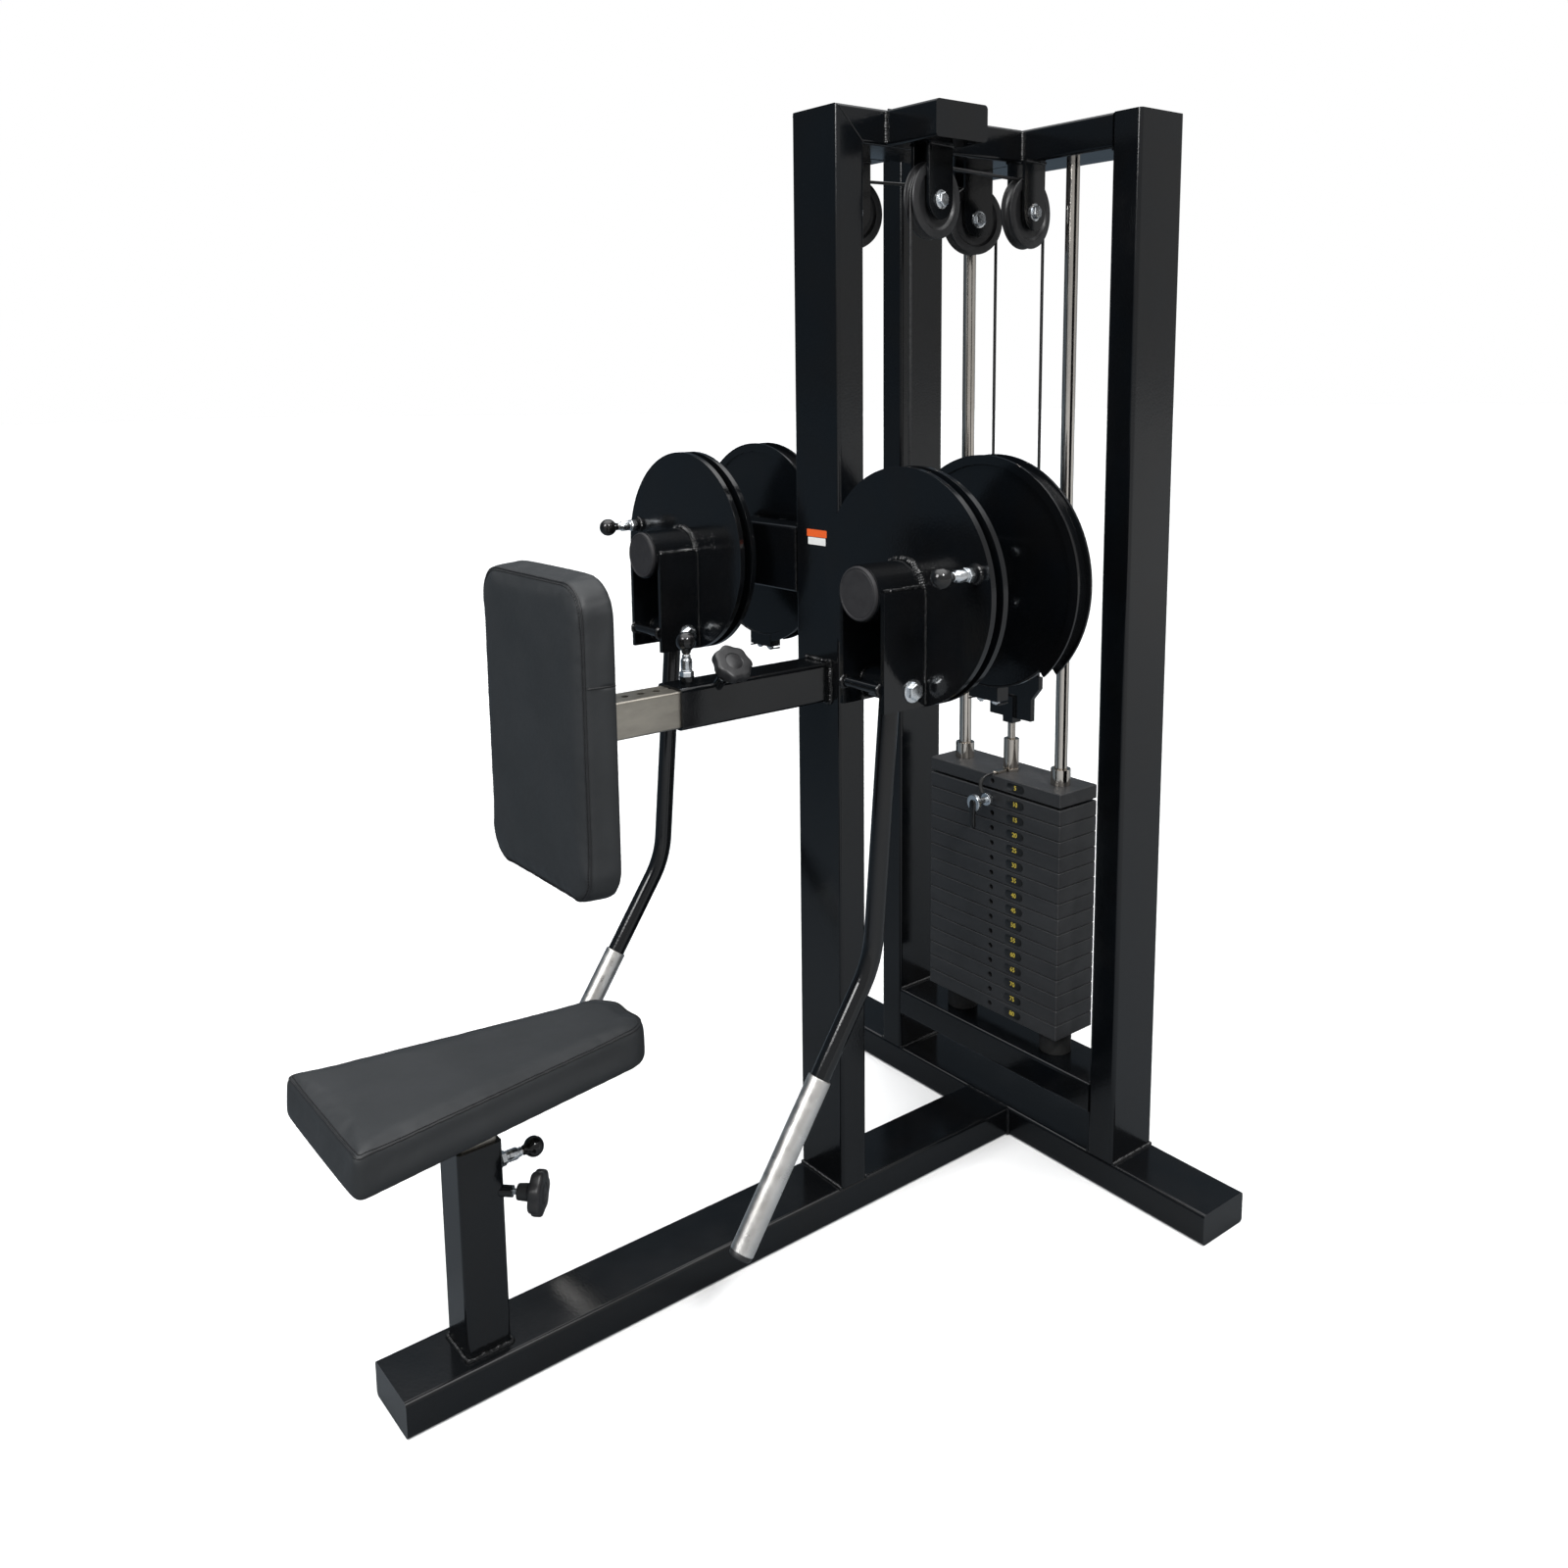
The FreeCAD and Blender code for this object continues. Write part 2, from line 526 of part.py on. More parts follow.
def build_cams():
    """Cable wheels at the back of the arm shafts, and index discs in front of the beams."""
    middle = ("pivot_across", "pivot_level")
    gap = "wheel_gap_end - wheel_gap_start"
    start = ALONG_Y * Rotation(Vector(0, 0, 1), -size("wheel_gap_start"))
    rim = cylinder("wheel_radius", "wheel_width", middle[0], "wheel_front", middle[1], start,
                   angle=f"360 - ({gap})")
    groove = cut(cylinder("wheel_radius + overshoot", "wheel_width - 2 * wheel_wall", middle[0],
                          "wheel_front + wheel_wall", middle[1], ALONG_Y),
                 cylinder("groove_floor", "wheel_width", middle[0], "wheel_front", middle[1], ALONG_Y))
    core = cylinder("wheel_seat", "wheel_width + 2 * overshoot", middle[0], "wheel_front - overshoot",
                    middle[1], ALONG_Y)
    web = cylinder("(wheel_seat + groove_floor) / 2", "web_thick", middle[0],
                   "wheel_front + wheel_wall", middle[1], ALONG_Y)
    hub = cylinder("housing_radius", "wheel_front + wheel_width - wheel_wall - wheel_hub_front",
                   middle[0], "wheel_hub_front", middle[1], ALONG_Y)
    clamp = box("clamp_width", "wheel_width - 2 * wheel_wall", "clamp_drop - wheel_seat",
                middle[0], "wheel_front + wheel_width / 2", "pivot_level - clamp_drop")
    keep_pair("cam_wheel", fuse(cut(rim, groove, core), web, hub, clamp))

    bolts = [hexagon("clamp_bolt_radius", "clamp_bolt_high", f"{middle[0]} + {side} * clamp_bolt_offset",
                     "wheel_front + wheel_width / 2", "pivot_level - clamp_drop - clamp_bolt_high")
             for side in (-1, 1)]
    keep_pair("clamp_bolts", group(*bolts))

    shaft = cylinder("shaft_radius", "wheel_hub_front - shaft_front", middle[0], "shaft_front",
                     middle[1], ALONG_Y)
    disc = cylinder("disc_radius", "disc_thick", middle[0], "index_front", middle[1], ALONG_Y)
    reach = math.hypot(size("plunger_across"), size("plunger_rise"))
    first = math.atan2(size("plunger_rise"), size("plunger_across"))
    holes = []
    for step in INDEX_HOLES:
        heading = first - step * math.radians(size("index_step"))
        holes.append(cylinder("pin_bore", "2 * disc_thick",
                              f"pivot_across + ({reach * math.cos(heading)})",
                              "index_front - disc_thick / 2",
                              f"pivot_level + ({reach * math.sin(heading)})", ALONG_Y))
    keep_pair("index_shaft", cut(fuse(shaft, disc), *holes))


def build_arms():
    """Arm hubs on the shafts: disc, sleeve, two cheeks, stop rod and plunger boss."""
    across, level = "pivot_across", "pivot_level"
    disc = cylinder("disc_radius", "disc_thick", across, "arm_disc_front", level, ALONG_Y)
    hub = cylinder("hub_radius", "arm_disc_front - hub_front", across, "hub_front", level, ALONG_Y)
    cheeks = [box("cheek_thick", "arm_disc_front - cheek_front", "cheek_top - cheek_bottom",
                  f"{across} + {side} * (cheek_inside + cheek_thick / 2)",
                  "(arm_disc_front + cheek_front) / 2", "cheek_bottom") for side in (-1, 1)]
    rod = cylinder("stop_rod_radius", "2 * cheek_inside", f"{across} - cheek_inside",
                   "stop_rod_along", "stop_rod_level", ALONG_X)
    pin_at = (f"{across} + plunger_across", f"{level} + plunger_rise")
    boss = cylinder("boss_radius", "boss_long", pin_at[0], "arm_disc_front - boss_long", pin_at[1],
                    ALONG_Y)
    bore = cylinder("shaft_radius + running_gap", "2 * arm_disc_front", across,
                    "hub_front - overshoot", level, ALONG_Y)
    pin_bore = cylinder("pin_bore", "2 * arm_disc_front", pin_at[0], "0", pin_at[1], ALONG_Y)
    bolt_bore = cylinder("hinge_radius", "4 * cheek_inside", f"{across} - 2 * cheek_inside",
                         "hinge_along", "hinge_level", ALONG_X)
    keep_pair("arm_hub", cut(fuse(disc, hub, *cheeks, rod, boss), bore, pin_bore, bolt_bore))

    cap = cylinder("cap_radius", "cap_thick", across, "hub_front - cap_thick", level, ALONG_Y)
    facing = Rotation(Vector(1, 0, 0), 90)
    keep_pair("hub_trim", group(cap, barrel(pin_at[0], "arm_disc_front", pin_at[1], facing)))
    reach = "index_front - arm_disc_front - pin_gap"
    keep_pair("arm_plunger", plunger(pin_at[0], "arm_disc_front", pin_at[1], facing, reach))

    cheek_outside = "cheek_inside + cheek_thick"
    shank = cylinder("hinge_radius - bolt_fit", f"2 * ({cheek_outside})",
                     f"{across} - ({cheek_outside})", "hinge_along", "hinge_level", ALONG_X)
    head = hexagon("bolt_head_radius", "bolt_head_thick", f"{across} + {cheek_outside}",
                   "hinge_along", "hinge_level", ALONG_X)
    nut = hexagon("bolt_head_radius", "bolt_head_thick",
                  f"{across} - ({cheek_outside}) - bolt_head_thick",
                  "hinge_along", "hinge_level", ALONG_X)
    keep_pair("hinge_bolt", fuse(shank, head, nut))


def build_handles():
    """Bent handle tubes on the hinge bolts, with long steel grips."""
    across = size("pivot_across")
    hinge = Vector(across, size("hinge_along"), size("hinge_level"))
    elbow = Vector(across, size("elbow_along"), size("elbow_level"))
    grip_top = Vector(across, size("grip_top_along"), size("grip_top_level"))
    heading = (grip_top - elbow).normalize()
    grip_end = grip_top + heading * size("grip_length")
    path = filleted_path([hinge, elbow, grip_end], [size("elbow_radius")])
    bush_half = size("cheek_inside") - size("bush_gap")
    bush = Part.makeCylinder(size("bush_radius"), 2 * bush_half,
                             hinge - Vector(bush_half, 0, 0), Vector(1, 0, 0))
    bore_radius = size("hinge_radius") - size("bolt_fit") + size("running_gap")
    bore = Part.makeCylinder(bore_radius, 4 * bush_half, hinge - Vector(2 * bush_half, 0, 0),
                             Vector(1, 0, 0))
    inner = swept(path, size("arm_tube_radius") - size("arm_tube_wall"))
    tube_shape = swept(path, size("arm_tube_radius")).cut(inner).fuse(bush).cut(bore)
    keep_pair("arm_tube", solid_node(tube_shape.removeSplitter(), "ArmTube"))

    sleeve_shape = Part.makeCylinder(size("grip_radius"), size("grip_length"), grip_top, heading)
    inside = Part.makeCylinder(size("arm_tube_radius") + size("grip_fit"), size("grip_length"),
                               grip_top, heading)
    plug = Part.makeCylinder(size("grip_radius") - size("plug_inset"), size("grip_plug"), grip_end,
                             heading)
    grip = Part.makeCompound([sleeve_shape.cut(inside), plug])
    keep_pair("grip", solid_node(grip, "Grip"))


# ---------------------------------------------------------------- pulleys and cables

def pulley_centres():
    """Centres of the right-hand pulleys, in one upright plane with the cable, and its heading."""
    rise = Vector(size("pivot_across") - size("cable_wrap"),
                  size("wheel_front") + size("wheel_width") / 2, size("pulley_level"))
    drop = Vector(size("drop_across"), size("stack_along"), size("pulley_level"))
    heading = (drop - rise).normalize()
    pitch = size("pulley_pitch")
    return rise + heading * pitch, drop - heading * pitch, heading


def pulley_set(centre, turn):
    """A pulley, its two bracket plates and its axle bolt, along the turned X axis."""
    across = turn * ALONG_X
    half = "pulley_width / 2"
    wheel = cylinder("pulley_radius", "pulley_width", 0, 0, f"-{half}")
    groove = document.addObject("Part::Torus", "Groove")
    bind(groove, Radius1="pulley_pitch - rope_radius - rope_gap + pulley_groove",
         Radius2="pulley_groove")
    bore = cylinder("axle_radius + running_gap", "2 * pulley_width", 0, 0, "-pulley_width")
    recesses = [cut(cylinder("recess_outer", "recess_deep", 0, 0, base),
                    cylinder("recess_inner", "recess_deep", 0, 0, base))
                for base in (f"-{half}", f"{half} - recess_deep")]
    pulley = place(cut(wheel, groove, bore, *recesses), centre.x, centre.y, centre.z, across)

    gap = f"{half} + bracket_gap"
    plates = []
    for side in (-1, 1):
        middle = f"{side} * ({gap} + bracket_thick / 2)"
        plate = box("bracket_thick", "bracket_wide", "top_level - beam_thin - pulley_level", middle)
        end = cylinder("bracket_wide / 2", "bracket_thick", f"{middle} - bracket_thick / 2", 0, 0,
                       ALONG_X)
        hole = cylinder("axle_radius + bolt_fit", "4 * pulley_width", "-2 * pulley_width", 0, 0,
                        ALONG_X)
        plates.append(cut(fuse(plate, end), hole))
    bracket = place(group(*plates), centre.x, centre.y, centre.z, turn)

    reach = f"{gap} + bracket_thick"
    shank = cylinder("axle_radius", f"2 * ({reach})", 0, 0, f"-({reach})")
    heads = [hexagon("axle_head_radius", "axle_head_thick", 0, 0, base)
             for base in (reach, f"-({reach}) - axle_head_thick")]
    bolt = place(fuse(shank, *heads), centre.x, centre.y, centre.z, across)
    return pulley, bracket, bolt


def build_pulleys():
    first, second, heading = pulley_centres()
    swivel = Rotation(Vector(0, 1, 0), heading)
    brackets, bolts = [], []
    for label, centre in (("front_pulley", first), ("back_pulley", second)):
        pulley, bracket, bolt = pulley_set(centre, swivel)
        keep_pair(label, pulley)
        brackets += [bracket, mirrored(bracket)]
        bolts += [bolt, mirrored(bolt)]
    keep("pulley_brackets", group(*brackets))

    flange_back = "column_front + beam_thin + flange_thick"
    for side in (-1, 1):
        bolts.append(hexagon("axle_head_radius", "axle_head_thick", f"{side} * rod_across",
                             "stack_along", "top_level"))
        for left, up in ((-1, -1), (-1, 1), (1, -1), (1, 1)):
            bolts.append(hexagon("axle_radius", "axle_head_thick",
                                 f"{side} * pivot_across + {left} * flange_bolt_offset", flange_back,
                                 f"pivot_level + {up} * flange_bolt_offset", ALONG_Y))
    keep("frame_bolts", group(*bolts))


def build_cables():
    """Steel cables from the wheels' clamps, over the pulleys and down to the yoke."""
    rope = size("rope_radius")
    first, second, heading = pulley_centres()
    pitch = size("pulley_pitch")
    wrap = size("cable_wrap")
    pivot = Vector(size("pivot_across"), size("wheel_front") + size("wheel_width") / 2,
                   size("pivot_level"))
    ends = math.radians(180), math.radians(size("wheel_gap_start"))

    def on_wheel(angle):
        return pivot + Vector(wrap * math.cos(angle), 0, wrap * math.sin(angle))

    lift = Vector(0, 0, pitch)
    slope = math.sqrt(0.5)
    over_first = first + (Vector(0, 0, 1) - heading) * (pitch * slope)
    over_second = second + (heading + Vector(0, 0, 1)) * (pitch * slope)
    path = Part.Wire([
        Part.Arc(on_wheel(ends[1]), on_wheel(sum(ends) / 2), on_wheel(ends[0])).toShape(),
        Part.LineSegment(on_wheel(ends[0]), first - heading * pitch).toShape(),
        Part.Arc(first - heading * pitch, over_first, first + lift).toShape(),
        Part.LineSegment(first + lift, second + lift).toShape(),
        Part.Arc(second + lift, over_second, second + heading * pitch).toShape()])
    run = swept(path, rope)
    keep("cable_runs", group(solid_node(run, "CableRun"), mirrored(solid_node(run, "CableRunTwin"))))
    socket_top = "yoke_top + socket_high"
    drops = [cylinder("rope_radius", f"pulley_level - ({socket_top})", f"{side} * drop_across",
                      "stack_along", socket_top) for side in (-1, 1)]
    keep("cable_drops", group(*drops))


# ---------------------------------------------------------------- weight stack

def slab(base, high):
    """One drilled weight plate with softened edges."""
    body = rounded_pad("stack_wide", "stack_deep", high, "2 * slab_edge")
    document.recompute()
    faces = [face for face in body.Shape.Faces if abs(face.normalAt(0, 0).z) > 0.999]
    names = []
    for face in faces:
        names += edges_at_level(body.Shape, face.BoundBox.ZMin)
    chamfer = body.newObject("PartDesign::Chamfer", "Edges")
    chamfer.Base = (body.Group[-2], sorted(set(names)))
    bind(chamfer, Size="slab_edge")
    place(body, 0, "stack_along", base)
    through, start = f"{high} + 2 * overshoot", f"{base} - overshoot"
    rods = [cylinder("rod_hole", through, f"{side} * rod_across", "stack_along", start)
            for side in (-1, 1)]
    stem = cylinder("stem_hole", through, 0, "stack_along", start)
    pin = cylinder("pin_slot", "stack_deep", 0, "stack_along - stack_deep / 2 - overshoot",
                   f"{base} + slab_thick / 2", ALONG_Y)
    return cut(body, *rods, stem, pin)


def build_stack():
    upper = slab(f"stack_base + {WEIGHT_PLATES} * slab_pitch", "slab_thick")
    keep("plate_10", upper)
    document.recompute()
    resting = []
    for step in range(1, WEIGHT_PLATES + 1):
        lower = upper.Shape.copy()
        lower.translate(Vector(0, 0, -step * size("slab_pitch")))
        resting.append(lower)
    keep("weight_plates", solid_node(Part.makeCompound(resting), "RestingPlates"))
    keep("head_plate", slab("head_base", "head_thick"))

    rod = cylinder("rod_radius", "top_level - beam_thin - rail_base - beam_thin", "rod_across",
                   "stack_along", "rail_base + beam_thin")
    keep_pair("guide_rod", rod)
    bumpers = []
    for side in (-1, 1):
        at = (f"{side} * rod_across", "stack_along", "rail_base + beam_thin")
        high = "stack_base - rail_base - beam_thin - bumper_gap"
        bumpers.append(cut(cylinder("bumper_radius", high, *at),
                           cylinder("rod_hole", "2 * bumper_radius", *at)))
    keep("stack_bumpers", group(*bumpers))

    head_top = "head_base + head_thick"
    stem = cylinder("stem_radius", f"{head_top} - stem_foot", 0, "stack_along", "stem_foot")
    thread = cylinder("stem_thread", f"stem_top - ({head_top})", 0, "stack_along", head_top)
    first_hole = "stack_base + slab_thick / 2"
    holes = [cylinder("pin_slot", "4 * stem_radius", 0, "stack_along - 2 * stem_radius",
                      f"{first_hole} + {step} * slab_pitch", ALONG_Y)
             for step in range(WEIGHT_PLATES + 1)]
    keep("selector_stem", cut(fuse(stem, thread), *holes))

    collars = []
    for side in (-1, 1):
        at = (f"{side} * rod_across", "stack_along", head_top)
        collars.append(cut(cylinder("bushing_radius", "bushing_high", *at),
                           cylinder("rod_radius + 2 * running_gap", "2 * bushing_high", *at)))
    at = (0, "stack_along")
    nut = cut(hexagon("bushing_radius", f"sleeve_base - ({head_top})", *at, head_top),
              cylinder("stem_thread + bolt_fit", "sleeve_high", *at, head_top))
    sleeve_ring = cut(cylinder("sleeve_radius", "sleeve_high", *at, "sleeve_base"),
                      cylinder("stem_thread + bolt_fit", "2 * sleeve_high", *at, "sleeve_base"))
    eye = box("yoke_thick", "yoke_block", f"sleeve_base - ({head_top})", 0,
              "stack_along - bushing_radius - yoke_block / 2", head_top)
    keep("carriage_collars", group(*collars, nut, sleeve_ring, eye))
    keep("yoke", build_yoke())


def build_yoke():
    """The plate that both cables pull, flared from the stem's block up to the two sockets."""
    block = box("yoke_block", "yoke_block", "yoke_block_top - yoke_base", 0, "stack_along", "yoke_base")
    bore = cylinder("stem_thread + bolt_fit", "stem_top + pin_gap - yoke_base", 0, "stack_along",
                    "yoke_base")
    flare = document.addObject("Part::Wedge", "Flare")
    bind(flare, Xmin=0, Xmax="yoke_thick", Ymin=0, Ymax="yoke_shoulder - yoke_block_top",
         Zmin="-yoke_wing", Zmax="yoke_wing", X2min=0, X2max="yoke_thick",
         Z2min="-yoke_half", Z2max="yoke_half")
    upright = Rotation(Vector(1, 1, 1), 120)
    place(flare, 0, "stack_along - yoke_thick / 2", "yoke_block_top", upright)
    wings = box("2 * yoke_wing", "yoke_thick", "yoke_block_top - yoke_wing_base", 0, "stack_along",
                "yoke_wing_base")
    bar = box("2 * yoke_half", "yoke_thick", "yoke_top - yoke_shoulder", 0, "stack_along",
              "yoke_shoulder")
    sockets = [cylinder("socket_radius", "socket_high", f"{side} * drop_across", "stack_along",
                        "yoke_top") for side in (-1, 1)]
    return cut(fuse(block, wings, flare, bar, *sockets), bore)


def build_selector():
    """The selector pin with its pull, and the short lanyard that keeps it by the stack."""
    level = size("stack_base") + WEIGHT_PLATES * size("slab_pitch") + size("slab_thick") / 2
    pin = cylinder("select_radius", "select_back - select_front", 0, "select_front", level, ALONG_Y)
    disc = cylinder("select_face", "select_disc_thick", 0, "select_front", level, ALONG_Y)
    neck = cylinder("select_disc / 2", "select_ring - select_front", 0, "select_front", level, ALONG_Y)
    ring = cylinder("select_disc", "select_disc_thick", 0, "select_ring", level, ALONG_Y)
    pull = box("pull_wide", "pull_thick", "pull_long", 0, "select_front - pull_thick / 2",
               f"{level} - pull_long + select_disc / 2")
    keep("selector_pin", group(fuse(pin, disc, neck, ring), pull))

    thick = size("lanyard_radius")
    front = size("stack_along") - size("bushing_radius") - size("yoke_block")
    top = size("head_base") + size("head_thick") + size("lanyard_rise")
    foot = level + size("select_disc") + size("lanyard_gap")  # the ring slides out below it
    neck_along = (size("select_front") + size("select_disc_thick") + size("select_ring")) / 2
    route = [Vector(0, front, top), Vector(0, front - 11, top), Vector(-5, front - 24, top - 3),
             Vector(-8, neck_along + 3, top - 13), Vector(-5, neck_along, top - 28),
             Vector(0, neck_along, foot)]
    radii = []
    for before, corner, after in zip(route, route[1:], route[2:]):
        turn = math.pi - (before - corner).getAngle(after - corner)
        shorter = min((before - corner).Length, (after - corner).Length)
        radii.append(0.45 * shorter / math.tan(turn / 2))
    keep("lanyard", solid_node(swept(filleted_path(route, radii), thick), "Lanyard"))


# ---------------------------------------------------------------- build, check and export

build_frame()
build_bearings()
build_seat()
build_pad()
build_cams()
build_arms()
build_handles()
build_pulleys()
build_cables()
build_stack()
build_selector()
document.recompute()

faults = [item.Name for item in document.Objects
          if "Invalid" in item.State or "Error" in item.State]
for label, item in parts.items():
    if item.Shape.isNull() or not item.Shape.isValid() or not item.Shape.Solids:
        faults.append(label)
if faults:
    raise RuntimeError(f"faulty objects: {faults}")
if len(parts) > 60:
    raise RuntimeError("too many nodes")

os.makedirs("parts", exist_ok=True)
for label, item in parts.items():
    item.Shape.exportStep(f"parts/{label}.step")
whole = Part.makeCompound([item.Shape for item in parts.values()])
print(len(parts), "nodes, box", whole.BoundBox)
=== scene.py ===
"""Looks of the lateral raise machine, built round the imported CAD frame. Lengths are in metres."""
import json
import math
import random

import bmesh
import bpy
import numpy as np
from mathutils import Matrix, Vector, noise
from mathutils.bvhtree import BVHTree
from mathutils.kdtree import KDTree


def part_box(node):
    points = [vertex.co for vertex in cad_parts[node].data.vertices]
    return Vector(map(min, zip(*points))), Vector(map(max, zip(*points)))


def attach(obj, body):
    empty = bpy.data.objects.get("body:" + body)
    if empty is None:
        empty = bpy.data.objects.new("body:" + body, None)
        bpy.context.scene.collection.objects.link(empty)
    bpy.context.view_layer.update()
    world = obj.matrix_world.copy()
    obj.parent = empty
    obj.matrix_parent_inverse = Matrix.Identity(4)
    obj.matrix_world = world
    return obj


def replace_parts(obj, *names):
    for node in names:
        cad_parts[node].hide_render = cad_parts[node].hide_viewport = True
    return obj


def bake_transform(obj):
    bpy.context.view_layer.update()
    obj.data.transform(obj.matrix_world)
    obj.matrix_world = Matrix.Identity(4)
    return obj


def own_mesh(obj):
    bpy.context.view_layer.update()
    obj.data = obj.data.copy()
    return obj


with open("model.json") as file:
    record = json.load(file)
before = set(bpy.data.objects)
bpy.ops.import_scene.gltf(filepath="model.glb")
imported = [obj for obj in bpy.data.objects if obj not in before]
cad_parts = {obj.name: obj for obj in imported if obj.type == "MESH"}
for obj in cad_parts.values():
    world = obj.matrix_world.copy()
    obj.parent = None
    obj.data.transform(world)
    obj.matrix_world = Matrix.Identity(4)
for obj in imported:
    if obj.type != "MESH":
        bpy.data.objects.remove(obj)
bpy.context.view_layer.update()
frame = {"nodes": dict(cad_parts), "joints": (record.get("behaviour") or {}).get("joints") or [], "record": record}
nodes = frame["nodes"]
body_of_node = {n: b for b, group in frame["record"]["behaviour"]["bodies"].items() for n in group}

MM = 0.001
SIDES = (("right", 1), ("left", -1))
X_AXIS, Y_AXIS, Z_AXIS = Vector((1, 0, 0)), Vector((0, 1, 0)), Vector((0, 0, 1))


def mm(x, y, z):
    return Vector((x, y, z)) * MM


def middle(node):
    low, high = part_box(node)
    return (low + high) / 2


PIVOT = middle("index_shaft_right")  # on the right-hand arm axis
PIVOT_X, PIVOT_Z = PIVOT.x / MM, PIVOT.z / MM


# ---------------------------------------------------------------- materials

class Tree:
    """A node tree that nodes are added to by their short names."""

    def __init__(self, tree):
        self.tree = tree

    def node(self, kind, inputs=(), **settings):
        made = self.tree.nodes.new("ShaderNode" + kind)
        for key, value in settings.items():
            setattr(made, key, value)
        for socket, value in dict(inputs).items():
            if isinstance(value, bpy.types.NodeSocket):
                self.tree.links.new(value, made.inputs[socket])
            else:
                made.inputs[socket].default_value = value
        return made


def dim_side(tree, where, start, end):
    """A grey that runs from dim bluish at -X to brighter at +X; it is light in the world, and painted shade on the
    floor.
    """
    side = tree.node("SeparateXYZ", {0: where}).outputs["X"]
    share = tree.node("MapRange", {"Value": side, "From Min": start, "From Max": end},
                      interpolation_type="SMOOTHSTEP").outputs[0]
    return tree.node("Mix", {0: share, 6: (0.068, 0.088, 0.108, 1), 7: (0.42, 0.42, 0.42, 1)},
                     data_type="RGBA").outputs[2]


class Look(Tree):
    """A Principled material put together from procedural nodes in object coordinates."""

    def __init__(self, name, colour, rough, metallic=0.0, **fixed):
        self.made = bpy.data.materials.new(name)
        self.made.use_nodes = True
        super().__init__(self.made.node_tree)
        self.shader = self.tree.nodes["Principled BSDF"]
        self.place = self.tree.nodes.new("ShaderNodeTexCoord").outputs["Object"]
        self.normal = None
        values = {"Base Color": (*colour, 1), "Roughness": rough, "Metallic": metallic, **fixed}
        for socket, value in values.items():
            self.shader.inputs[socket].default_value = value
        self.colour = colour

    def spots(self, scale, detail=2.0, stretch=(1, 1, 1), kind="noise"):
        """A grey pattern: scale is in cells per metre."""
        where = self.node("Mapping", {"Vector": self.place, "Scale": stretch}).outputs[0]
        if kind == "cells":
            return self.node("TexVoronoi", {"Vector": where, "Scale": scale},
                             feature="DISTANCE_TO_EDGE").outputs["Distance"]
        return self.node("TexNoise", {"Vector": where, "Scale": scale, "Detail": detail}).outputs[0]

    def between(self, pattern, low, high, start=0.3, end=0.7):
        """Stretch a pattern to run from low to high."""
        return self.node("MapRange", {"Value": pattern, "From Min": start, "From Max": end,
                                      "To Min": low, "To Max": high}).outputs[0]

    def mottle(self, pattern, other, start=0.35, end=0.65):
        """Vary the base colour towards another one."""
        blend = self.node("Mix", data_type="RGBA")
        share = self.between(pattern, 0, 1, start, end)
        self.tree.links.new(share, blend.inputs[0])
        blend.inputs[6].default_value = (*self.colour, 1)
        blend.inputs[7].default_value = (*other, 1)
        self.tree.links.new(blend.outputs[2], self.shader.inputs["Base Color"])
        return self

    def uneven(self, pattern, low, high):
        """Vary the roughness."""
        self.tree.links.new(self.between(pattern, low, high), self.shader.inputs["Roughness"])
        return self

    def bump(self, pattern, depth, strength=1.0):
        """Raise the surface by a pattern, depth in metres; bumps add up."""
        inputs = {"Height": pattern, "Distance": depth, "Strength": strength}
        if self.normal:
            inputs["Normal"] = self.normal
        self.normal = self.node("Bump", inputs).outputs[0]
        self.tree.links.new(self.normal, self.shader.inputs["Normal"])
        return self


